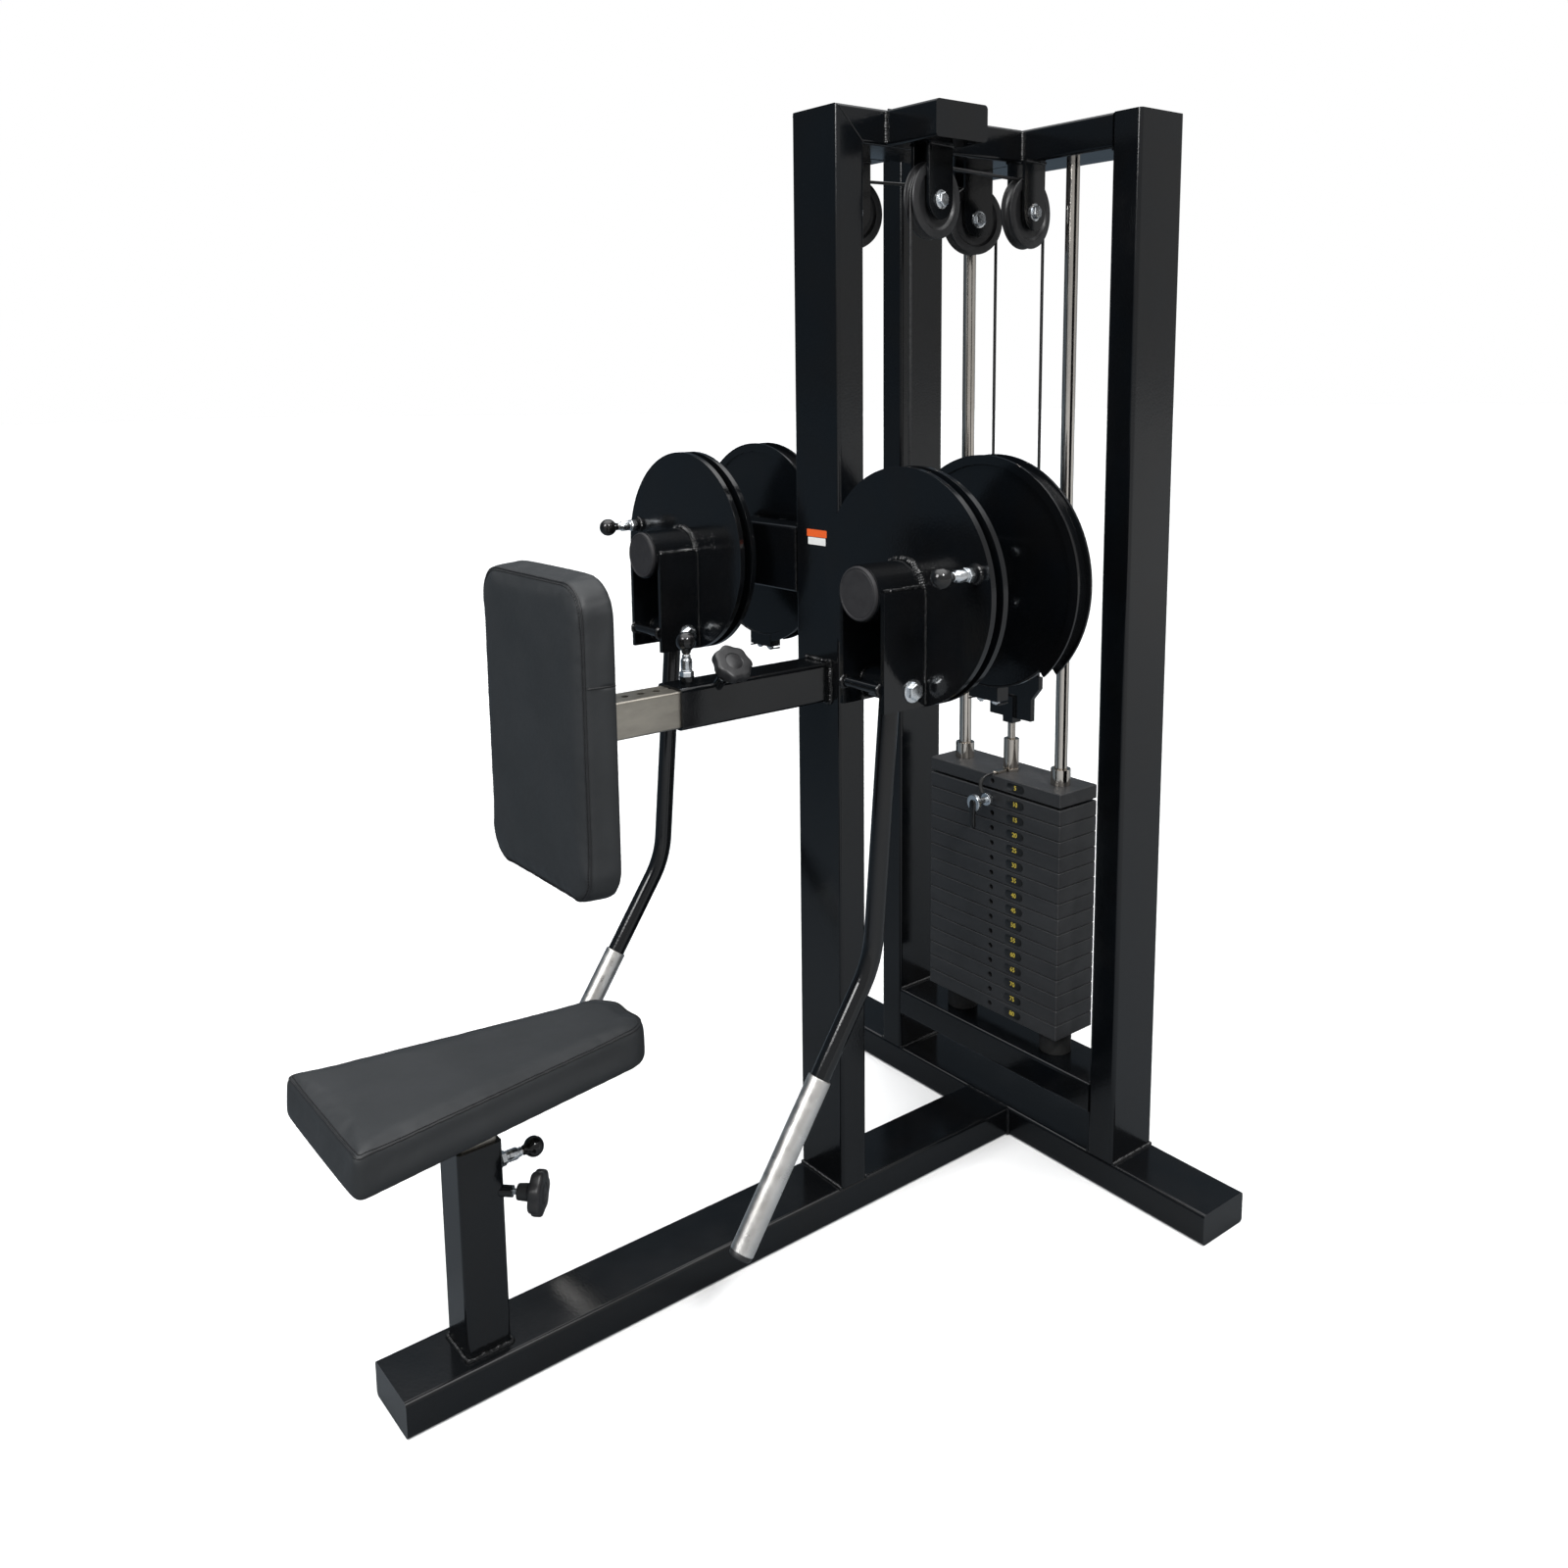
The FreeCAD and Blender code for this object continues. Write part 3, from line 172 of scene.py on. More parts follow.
def make_looks():
    """One material for each finish on the machine."""
    looks = {}

    def look(slot, name, *args, **fixed):
        looks[name] = Look(name, *args, **fixed)
        looks[name].slot = slot
        return looks[name]

    gloss = {"Specular IOR Level": 0.5}
    paint = look("black_paint", "powder_coat", (0.0024, 0.0032, 0.0042), 0.15, **gloss)
    paint.mottle(paint.spots(9), (0.003, 0.0032, 0.0036)).uneven(paint.spots(14, 4), 0.11, 0.18)
    paint.bump(paint.spots(260, 0.5), 0.0002, 0.35).bump(paint.spots(900, 0.5), 0.00003, 0.3)
    bead = look("black_paint", "painted_bead", (0.002, 0.0022, 0.0028), 0.12, **gloss)
    bead.mottle(bead.spots(120), (0.004, 0.004, 0.004)).uneven(bead.spots(200), 0.07, 0.2)
    bead.bump(bead.spots(450, 3.0), 0.0005, 0.7)
    iron = look("weight_paint", "plate_paint", (0.024, 0.0245, 0.026), 0.42, **gloss)
    iron.mottle(iron.spots(7, 3, (1, 1, 4)), (0.032, 0.0325, 0.034)).uneven(iron.spots(30, 5), 0.34, 0.5)
    iron.bump(iron.spots(900, 2.0), 0.00006, 0.6)
    chrome = look("bright_steel", "chrome", (0.72, 0.68, 0.63), 0.14, 1.0)
    chrome.mottle(chrome.spots(5, 3, (1, 1, 0.4)), (0.58, 0.53, 0.47))
    chrome.uneven(chrome.spots(260, 3, (1, 1, 0.05)), 0.08, 0.2)
    chrome.bump(chrome.spots(900, 2.0, (1, 1, 0.06)), 0.00002, 0.4)
    zinc = look("zinc_steel", "bright_zinc", (0.66, 0.7, 0.74), 0.26, 1.0)
    zinc.mottle(zinc.spots(60, 3), (0.74, 0.76, 0.77)).uneven(zinc.spots(150, 2), 0.2, 0.3)
    zinc.bump(zinc.spots(1200, 2.0), 0.00001, 0.4)
    brushed = look("stainless", "brushed_stainless", (0.44, 0.41, 0.355), 0.34, 1.0)
    brushed.mottle(brushed.spots(22, 4, (1, 1, 3)), (0.37, 0.345, 0.3))
    brushed.uneven(brushed.spots(300, 3, (1, 0.06, 1)), 0.28, 0.44)
    brushed.bump(brushed.spots(1600, 2.0, (1, 0.04, 1)), 0.00003, 0.5)
    knurl = look("grip_steel", "knurled_grip", (0.8, 0.785, 0.76), 0.38, 1.0)
    knurl.mottle(knurl.spots(26, 4), (0.66, 0.64, 0.61)).uneven(knurl.spots(60, 3), 0.26, 0.42)
    knurl.bump(knurl.spots(850, 0.0, (1, 1, 1), "cells"), 0.00025, 0.6)
    vinyl = look("vinyl", "vinyl", (0.0192, 0.0208, 0.0222), 0.5, **{"Specular IOR Level": 0.3})
    vinyl.mottle(vinyl.spots(11, 3), (0.0222, 0.0238, 0.0255)).uneven(vinyl.spots(40, 3), 0.46, 0.54)
    vinyl.bump(vinyl.spots(620, 0.0, (1, 1, 1), "cells"), 0.00022, 0.45)
    vinyl.bump(vinyl.spots(1500, 3.0), 0.00008, 0.4).bump(vinyl.spots(24, 2.0), 0.0006, 0.25)
    # the thread look also colours the pipes in the seams, where it is painted shade
    thread = look("vinyl", "thread", (0.004, 0.0042, 0.005), 0.55, **gloss)
    thread.mottle(thread.spots(900), (0.007, 0.007, 0.008)).bump(thread.spots(3000), 0.0001, 0.6)
    plastic = look("black_plastic", "matte_plastic", (0.011, 0.0112, 0.012), 0.42, **gloss)
    plastic.mottle(plastic.spots(40, 3), (0.015, 0.015, 0.016)).uneven(plastic.spots(90, 3), 0.36, 0.5)
    plastic.bump(plastic.spots(1800, 2.0), 0.00005, 0.6)
    cap = look("black_plastic", "grey_cap", (0.016, 0.0155, 0.017), 0.55, **{"Specular IOR Level": 0.35})
    cap.mottle(cap.spots(60, 3), (0.02, 0.0195, 0.021)).uneven(cap.spots(90, 3), 0.5, 0.6)
    cap.bump(cap.spots(1500, 2.0), 0.00006, 0.6)
    shiny = look("black_plastic", "gloss_plastic", (0.005, 0.005, 0.0055), 0.12, **gloss)
    shiny.mottle(shiny.spots(60), (0.008, 0.008, 0.008)).uneven(shiny.spots(120), 0.08, 0.18)
    shiny.bump(shiny.spots(500, 1.0), 0.00003, 0.3)
    rubber = look("buffer_rubber", "rubber", (0.012, 0.012, 0.012), 0.7, **gloss)
    rubber.mottle(rubber.spots(70, 4), (0.02, 0.02, 0.019)).bump(rubber.spots(900, 3.0), 0.0001, 0.6)
    jacket = look("cable_jacket", "cable_jacket", (0.008, 0.008, 0.009), 0.34, **gloss)
    jacket.mottle(jacket.spots(80), (0.013, 0.013, 0.013)).uneven(jacket.spots(200, 3), 0.26, 0.44)
    jacket.bump(jacket.spots(700, 1.0), 0.00006, 0.5)
    badge = look("weight_paint", "badge_black", (0.003, 0.003, 0.003), 0.3, **gloss)
    badge.mottle(badge.spots(300), (0.006, 0.006, 0.006)).bump(badge.spots(900), 0.00003, 0.4)
    for name, colour, other in (("badge_yellow", (0.85, 0.66, 0.08), (0.7, 0.54, 0.07)),
                                ("sticker_orange", (0.78, 0.12, 0.02), (0.68, 0.1, 0.02)),
                                ("sticker_white", (0.78, 0.78, 0.76), (0.68, 0.68, 0.66))):
        print_ink = look("weight_paint" if "badge" in name else "black_paint", name, colour, 0.4, **gloss)
        print_ink.mottle(print_ink.spots(500, 3), other).bump(print_ink.spots(1500), 0.00002, 0.4)
    return looks


LOOKS = make_looks()
CAD_LOOKS = {"black_paint": "powder_coat", "weight_paint": "plate_paint", "bright_steel": "chrome",
             "zinc_steel": "bright_zinc", "stainless": "brushed_stainless",
             "grip_steel": "knurled_grip", "vinyl": "vinyl", "black_plastic": "matte_plastic",
             "buffer_rubber": "rubber", "cable_jacket": "cable_jacket"}


def wear(piece, look):
    """Give a piece one material."""
    piece.data.materials.clear()
    piece.data.materials.append(LOOKS[look].made)
    return piece


# ---------------------------------------------------------------- making pieces

def finished(name, bm, look, body, smooth=True, sharp=math.radians(35)):
    """Turn a bmesh into a piece that rides on a body."""
    bmesh.ops.recalc_face_normals(bm, faces=bm.faces)
    for edge in bm.edges:
        if len(edge.link_faces) == 2 and edge.calc_face_angle(0) > sharp:
            edge.smooth = False
    for face in bm.faces:
        face.smooth = smooth
    mesh = bpy.data.meshes.new(name)
    bm.to_mesh(mesh)
    bm.free()
    piece = bpy.data.objects.new(name, mesh)
    bpy.context.scene.collection.objects.link(piece)
    wear(piece, look)
    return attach(piece, body)


def facing(axis, origin=(0, 0, 0)):
    """The matrix that takes local Z to an axis through a point."""
    turn = Z_AXIS.rotation_difference(Vector(axis)).to_matrix().to_4x4()
    return Matrix.Translation(origin) @ turn


def lathe(bm, profile, matrix, steps=48, wave=None):
    """Add a turned solid: profile is (radius, height) in mm from the axis back to the axis."""
    rings = []
    for radius, height in profile:
        if radius < 1e-6:
            rings.append([bm.verts.new(matrix @ mm(0, 0, height))])
            continue
        ring = []
        for step in range(steps):
            angle = 2 * math.pi * step / steps
            r = radius * (wave(angle, radius) if wave else 1)
            ring.append(bm.verts.new(matrix @ mm(r * math.cos(angle), r * math.sin(angle), height)))
        rings.append(ring)
    for low, high in zip(rings, rings[1:]):
        for step in range(steps):
            after = (step + 1) % steps
            corners = [low[step % len(low)], low[after % len(low)],
                       high[after % len(high)], high[step % len(high)]]
            unique = list(dict.fromkeys(corners))
            if len(unique) > 2:
                bm.faces.new(unique)
    return bm


def hexagonal(angle, radius):
    """A hexagon's outline over its circumscribed circle."""
    part = math.radians(60)
    return math.cos(part / 2) / math.cos(angle % part - part / 2)


def hex_bolt(bm, matrix, radius=13, high=8, washer=True, stud=0):
    """A chamfered hex head on a washer, with an optional thread end past a nut."""
    rest = 0
    if washer:
        rest = 1.6
        lathe(bm, [(0, 0), (radius * 1.22, 0), (radius * 1.26, 0.3), (radius * 1.26, 1.3),
                   (radius * 1.2, rest), (0, rest)], matrix, 36)
    top = high if not washer else high + 0.4
    lathe(bm, [(0, rest), (radius, rest), (radius, top - 1.3), (radius * 0.86, top), (0, top)],
          matrix, 36, hexagonal)
    if stud:
        thread = [(0, top)]
        for turn in range(int(stud / 0.75)):
            thread.append((radius * (0.5 if turn % 2 else 0.44), top + 0.75 * turn))
        thread.append((0, thread[-1][1]))
        lathe(bm, thread, matrix, 20)
    return bm


def resampled(points, step, closed=False):
    """Points a step apart along a polyline."""
    line = [Vector(p) for p in points] + ([Vector(points[0])] if closed else [])
    out, carry = [line[0].copy()], 0.0
    for a, b in zip(line, line[1:]):
        run = (b - a).length
        at = step - carry
        while at <= run:
            out.append(a.lerp(b, at / run))
            at += step
        carry = run - (at - step)
    if closed and (out[-1] - out[0]).length < step / 2:
        out.pop()
    return out


def pipe(bm, points, radius, sides=8, closed=False, capped=True):
    """Add a round bar along points; radius is a number or a function of the point's index."""
    count = len(points)
    side = None
    rings = []
    for i, point in enumerate(points):
        before = points[i - 1] if i or closed else point
        after = points[(i + 1) % count] if i + 1 < count or closed else point
        ahead = (after - before).normalized()
        if side is None:
            side = ahead.orthogonal().normalized()
        side = (side - ahead * side.dot(ahead)).normalized()
        other = ahead.cross(side)
        r = radius(i) if callable(radius) else radius
        rings.append([bm.verts.new(point + (side * math.cos(a) + other * math.sin(a)) * r)
                      for a in (2 * math.pi * k / sides for k in range(sides))])
    pairs = list(zip(rings, rings[1:] + rings[:1])) if closed else list(zip(rings, rings[1:]))
    for low, high in pairs:
        for k in range(sides):
            after = (k + 1) % sides
            bm.faces.new([low[k], low[after], high[after], high[k]])
    if not closed and capped:
        bm.faces.new(list(reversed(rings[0])))
        bm.faces.new(rings[-1])
    return bm


BEAD_STEP = 1.0 * MM
BEAD_PITCH = 4


def bead(bm, points, radius, closed=False):
    """Add a weld bead: a bar of overlapping ripples that wanders slightly."""
    line = resampled(points, BEAD_STEP, closed)
    line = [p + Vector(noise.noise_vector(p * 130)) * radius * 0.26 for p in line]

    def ripple(i):
        phase = (i % BEAD_PITCH) / BEAD_PITCH * 2 - 1
        swell = 1 + 0.3 * noise.noise(line[i] * 90)
        return radius * swell * (0.9 + 0.13 * math.sqrt(max(0.0, 1 - phase * phase)))

    return pipe(bm, line, ripple, 8, closed)


def ring_points(centre, radius, axis, steps=72, start=0.0, sweep=360.0):
    """Points on a circle round an axis, in metres."""
    turn = facing(axis, centre)
    return [turn @ (Vector((math.cos(a), math.sin(a), 0)) * radius)
            for a in (math.radians(start + sweep * k / steps) for k in range(steps + (sweep < 360)))]


def islands(node):
    """The vertex positions of each separate solid of a CAD node."""
    bm = bmesh.new()
    bm.from_mesh(nodes[node].data)
    bmesh.ops.remove_doubles(bm, verts=bm.verts, dist=1e-6)
    bm.verts.ensure_lookup_table()
    seen, found = set(), []
    for start in bm.verts:
        if start.index in seen:
            continue
        seen.add(start.index)
        stack, group = [start], []
        while stack:
            vert = stack.pop()
            group.append(vert.co.copy())
            for edge in vert.link_edges:
                other = edge.other_vert(vert)
                if other.index not in seen:
                    seen.add(other.index)
                    stack.append(other)
        found.append(group)
    bm.free()
    return found


def spread(points):
    """Centre, long axis and end positions along that axis of a set of points."""
    at = np.array([tuple(p) for p in points])
    low, high = at.min(0), at.max(0)
    centre = (low + high) / 2
    _, _, axes = np.linalg.svd(at - at.mean(0), full_matrices=False)
    along = (at - centre) @ axes[0]
    return Vector(centre), Vector(axes[0]), along.min(), along.max()


def long_outer_edge(edge, boxes, along):
    """Whether an edge runs along an axis on the outside corner of one of the boxes."""
    start, end = (np.array(v.co) for v in edge.verts)
    near = 0.3 * MM
    if abs((end - start)[along]) < 0.98 * np.linalg.norm(end - start):
        return False
    others = [axis for axis in range(3) if axis != along]
    return any(all(min(abs(start[a] - low[a]), abs(start[a] - high[a])) < near for a in others)
               and all(low[a] - near < start[a] < high[a] + near for a in range(3))
               for low, high in boxes)


def softened(node, width, look=None, along=None):
    """Stand in for a CAD node with the same solid whose edges are slightly rounded.

    For a rectangular tube, along is its axis and only its four long outer edges are rounded.
    """
    bm = bmesh.new()
    bm.from_mesh(nodes[node].data)
    bmesh.ops.remove_doubles(bm, verts=bm.verts, dist=2e-6)
    bmesh.ops.dissolve_limit(bm, angle_limit=math.radians(0.5), verts=bm.verts, edges=bm.edges)
    edges = [e for e in bm.edges if len(e.link_faces) == 2 and e.calc_face_angle(0) > math.radians(28)]
    if along is not None:
        boxes = [(np.min(group, axis=0), np.max(group, axis=0)) for group in islands(node)]
        edges = [e for e in edges if long_outer_edge(e, boxes, along)]
    bmesh.ops.bevel(bm, geom=edges, offset=width * MM, segments=2, profile=0.5, affect="EDGES",
                    clamp_overlap=True)
    bmesh.ops.triangulate(bm, faces=[f for f in bm.faces if len(f.verts) > 4])
    if look is None:
        look = CAD_LOOKS[next(s["material_slot"] for s in frame["record"]["subparts"] if s["node"] == node)]
    piece = finished(node + "_skin", bm, look, body_of_node[node])
    piece.modifiers.new("Normals", "WEIGHTED_NORMAL").keep_sharp = True
    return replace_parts(piece, node)


# ---------------------------------------------------------------- camera, floor and light

def make_stage():
    camera = bpy.data.objects.new("Camera", bpy.data.cameras.new("Camera"))
    bpy.context.scene.collection.objects.link(camera)
    yaw, pitch, roll = 0.9098, 0.1554, -0.0123
    ahead = Vector((-math.sin(yaw) * math.cos(pitch), math.cos(yaw) * math.cos(pitch), -math.sin(pitch)))
    right = ahead.cross(Z_AXIS).normalized()
    up = right.cross(ahead)
    side = right * math.cos(roll) + up * math.sin(roll)
    top = up * math.cos(roll) - right * math.sin(roll)
    camera.matrix_world = Matrix.Translation((1.81375, -1.31235, 1.55533)) @ Matrix(
        (side, top, -ahead)).transposed().to_4x4()
    camera.data.sensor_width = 36
    camera.data.lens = 30.89
    camera.data.shift_x, camera.data.shift_y = 0.0027, -0.125
    camera.data.clip_end = 60
    bpy.context.scene.camera = camera

    bm = bmesh.new()
    bmesh.ops.create_grid(bm, x_segments=4, y_segments=4, size=60)
    mesh = bpy.data.meshes.new("Floor")
    bm.to_mesh(mesh)
    bm.free()
    floor = bpy.data.objects.new("Floor", mesh)
    floor.location.z = -0.0005
    bpy.context.scene.collection.objects.link(floor)
    # the floor and backdrop look pale to the camera, and dim towards -X where only the machine's gloss sees them;
    # on the floor this dimming is painted shade in the floor's colour
    pale = Look("pale_floor", (0.9, 0.9, 0.9), 0.8)
    dim = pale.node("BsdfDiffuse", {"Color": dim_side(pale, pale.place, -3.0, 6.0)})
    mix = pale.node("MixShader", {0: pale.node("LightPath").outputs["Is Camera Ray"],
                                  1: dim.outputs[0], 2: pale.shader.outputs[0]})
    pale.tree.links.new(mix.outputs[0], pale.tree.nodes["Material Output"].inputs[0])
    mesh.materials.append(pale.made)

    world = bpy.data.worlds.new("Studio")
    bpy.context.scene.world = world
    world.use_nodes = True
    studio = Tree(world.node_tree)
    where = studio.node("TexCoord").outputs["Generated"]
    height = studio.node("SeparateXYZ", {0: where}).outputs["Z"]
    above = studio.node("MapRange", {"Value": height, "From Min": 0.55, "From Max": 0.98, "To Max": 3.0},
                        interpolation_type="SMOOTHSTEP").outputs[0]
    room = studio.node("VectorMath", {0: dim_side(studio, where, -0.8, 0.8), 1: above}).outputs[0]
    seen = studio.node("Mix", {0: studio.node("LightPath").outputs["Is Camera Ray"], 6: room,
                               7: (1, 1, 1, 1)}, data_type="RGBA").outputs[2]
    studio.tree.links.new(seen, world.node_tree.nodes["Background"].inputs[0])

    for name, at, size, power in (("Key", (2.6, -0.6, 3.6), 0.4, 70), ("Front", (0.3, -3.0, 3.2), 1.5, 90)):
        lamp = bpy.data.lights.new(name, "AREA")
        lamp.size, lamp.energy = size, power
        light = bpy.data.objects.new(name, lamp)
        light.location = at
        light.rotation_euler = (Vector((0, 0.1, 0.9)) - Vector(at)).to_track_quat("-Z", "Y").to_euler()
        bpy.context.scene.collection.objects.link(light)
    bpy.context.scene.view_settings.view_transform = "Standard"


# ---------------------------------------------------------------- cushions

def outline(corners, rounds, step=4.0):
    """A closed outline in mm with rounded corners."""
    points = []
    count = len(corners)
    for i, (corner, radius) in enumerate(zip(corners, rounds)):
        here = Vector(corner)
        before = (Vector(corners[i - 1]) - here).normalized()
        after = (Vector(corners[(i + 1) % count]) - here).normalized()
        half = before.angle(after) / 2
        reach = radius / math.tan(half)
        centre = here + (before + after).normalized() * (radius / math.sin(half))
        first, last = here + before * reach - centre, here + after * reach - centre
        sweep = math.pi - 2 * half
        parts = max(3, int(radius * sweep / step))
        for k in range(parts + 1):
            angle = math.atan2(first.y, first.x) + sweep * k / parts
            points.append(centre + Vector((math.cos(angle), math.sin(angle))) * radius)
    return points


def inset(points, distance):
    """Move a closed counter-clockwise outline inwards."""
    moved = []
    count = len(points)
    for i, point in enumerate(points):
        ahead = (points[(i + 1) % count] - points[i - 1]).normalized()
        moved.append(point + Vector((-ahead.y, ahead.x)) * distance)
    return moved


def select_only(piece):
    bpy.ops.object.select_all(action="DESELECT")
    piece.select_set(True)
    bpy.context.view_layer.objects.active = piece


def inflate(piece, pinned_below, cap):
    """Swell a closed shell with Cloth, keep its base and limit how far any point moves."""
    start = np.array([v.co[:] for v in piece.data.vertices])
    group = piece.vertex_groups.new(name="Base")
    group.add([i for i, co in enumerate(start) if co[2] < pinned_below], 1.0, "REPLACE")
    cloth = piece.modifiers.new("Cloth", "CLOTH")
    cloth.settings.use_pressure = True
    cloth.settings.uniform_pressure_force = 4
    cloth.settings.quality = 4
    cloth.settings.vertex_group_mass = "Base"
    cloth.settings.effector_weights.gravity = 0
    cloth.point_cache.frame_end = 20
    scene = bpy.context.scene
    for step in range(1, 21):
        scene.frame_set(step)
    shape = piece.evaluated_get(bpy.context.evaluated_depsgraph_get()).to_mesh()
    end = np.array([v.co[:] for v in shape.vertices])
    piece.modifiers.clear()
    scene.frame_set(1)
    move = end - start
    length = np.linalg.norm(move, axis=1, keepdims=True)
    soft = cap * np.tanh(length / cap) / np.maximum(length, 1e-9)
    piece.data.vertices.foreach_set("co", (start + move * soft).astype(np.float32).ravel())
    piece.data.update()


def cushion(name, corners, rounds, thick, matrix, body, node, panel_seams=()):
    """A stuffed pad in a local frame whose Z points out of its face, with creased seams, dark pipes in them as
    painted shade, and stitches.
    """
    edge = outline(corners, rounds)
    rim = [(8, 0), (3, 0.8), (1.2, 3), (1, 10), (1, thick / 2), (1.2, thick - 14), (2.5, thick - 7),
           (6, thick - 3.2), (12, thick - 2.2)]
    bm = bmesh.new()
    rings = [[bm.verts.new(mm(p.x, p.y, high)) for p in inset(edge, distance)] for distance, high in rim]
    for low, high in zip(rings, rings[1:]):
        for k in range(len(edge)):
            after = (k + 1) % len(edge)
            bm.faces.new([low[k], low[after], high[after], high[k]])
    bm.faces.new(list(reversed(rings[0])))
    bm.faces.new(rings[-1])
    piece = finished(name, bm, "vinyl", body)
    piece.parent = None
    remesh = piece.modifiers.new("Remesh", "REMESH")
    remesh.mode, remesh.voxel_size = "VOXEL", 4.5 * MM
    select_only(piece)
    bpy.ops.object.modifier_apply(modifier="Remesh")
    inflate(piece, 3 * MM, 5 * MM)
    relax = piece.modifiers.new("Relax", "SMOOTH")
    relax.factor, relax.iterations = 0.5, 10
    bpy.ops.object.modifier_apply(modifier="Relax")
    smooth = piece.modifiers.new("Smooth", "SUBSURF")
    smooth.levels = smooth.render_levels = 1
    bpy.ops.object.modifier_apply(modifier="Smooth")

    seam = [mm(p.x, p.y, thick - 3) for p in inset(edge, 5.0)]
    paths = [(resampled(seam, 2 * MM, True), True)]
    paths += [([mm(*p) for p in path], False) for path in panel_seams]
    crease(piece, [p for path, _ in paths for p in path], 2.6 * MM, 3 * MM)
    stitch_line = resampled([mm(p.x, p.y, thick - 2) for p in inset(edge, 12.5)], 2 * MM, True)
    crease(piece, stitch_line, 2.4 * MM, 0.8 * MM)
    surface = BVHTree.FromObject(piece, bpy.context.evaluated_depsgraph_get())
    # the dark thread-coloured pipe in each seam's crease is painted shade along the seam
    seam_shade_pipe, stitches = bmesh.new(), bmesh.new()
    for path, closed in paths:
        on = [surface.find_nearest(p) for p in path]
        pipe(seam_shade_pipe, [hit[0] + hit[1] * 0.5 * MM for hit in on], 1.3 * MM, 8, closed)
    line = resampled([mm(p.x, p.y, thick) for p in inset(edge, 12.5)], 5.2 * MM, True)
    for here, there in zip(line, line[1:] + line[:1]):
        ends = [surface.ray_cast(p + Z_AXIS * 0.05, -Z_AXIS) for p in (here, here.lerp(there, 0.62))]
        if ends[0][0] and ends[1][0]:
            a, b = (hit[0] + hit[1] * 0.5 * MM for hit in ends)
            dash = [a - Z_AXIS * 0.9 * MM, a, a.lerp(b, 0.5) + Z_AXIS * 0.2 * MM, b, b - Z_AXIS * 0.9 * MM]
            pipe(stitches, dash, 0.85 * MM, 6)
    for mesh_piece, suffix, look in ((seam_shade_pipe, "_seam_shade", "thread"), (stitches, "_stitches", "thread")):
        made = finished(name + suffix, mesh_piece, look, body)
        made.parent = None
        made.matrix_world = matrix
        made.data.transform(matrix)
        made.matrix_world = Matrix.Identity(4)
        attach(made, body)
    piece.data.transform(matrix)
    piece.matrix_world = Matrix.Identity(4)
    for face in piece.data.polygons:
        face.use_smooth = True
    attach(piece, body)
    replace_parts(piece, node)
    return piece


PUCKER_REACH, PUCKER_DEPTH = 12 * MM, 0.35 * MM


def crease(piece, points, width, depth):
    """Press the surface in along a line of points, with small puckers beside it."""
    tree = KDTree(len(points))
    for i, point in enumerate(points):
        tree.insert(point, i)
    tree.balance()
    normals = [v.normal.copy() for v in piece.data.vertices]
    for vert, normal in zip(piece.data.vertices, normals):
        _, _, far = tree.find(vert.co)
        press = depth * math.exp(-((far / width) ** 2))
        pucker = PUCKER_DEPTH * noise.noise(vert.co * 75) * math.exp(-far / PUCKER_REACH)
        vert.co -= normal * (press + pucker)
    piece.data.update()


def make_cushions():
    low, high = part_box("seat_cushion")
    front, back, base = low.y / MM, high.y / MM, low.z / MM
    wide, narrow = high.x / MM, 72
    centre = (front + back) / 2
    cushion("seat_pad", [(-wide, front - centre), (wide, front - centre), (narrow, back - centre),
                         (-narrow, back - centre)], (14, 14, 56, 56), (high.z - low.z) / MM,
            Matrix.Translation(mm(0, centre, base)), "seat", "seat_cushion")
    low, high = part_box("pad_cushion")
    half_wide, half_high = high.x / MM, (high.z - low.z) / 2 / MM
    thick = (high.y - low.y) / MM
    # local X is the machine's X, local Y its Z, local Z points to the front
    stand = Matrix(((1, 0, 0, 0), (0, 0, -1, high.y), (0, 1, 0, (low.z + high.z) / 2), (0, 0, 0, 1)))
    joins = [[(side * half_wide, 91, z) for z in np.arange(2.0, thick - 5, 1.5)] for side in (-1, 1)]
    cushion("chest_pad_cushion", [(-half_wide, -half_high), (half_wide, -half_high),
                                  (half_wide, half_high), (-half_wide, half_high)],
            (58, 58, 58, 58), thick, stand, "chest_pad", "pad_cushion", joins)


# ---------------------------------------------------------------- fittings

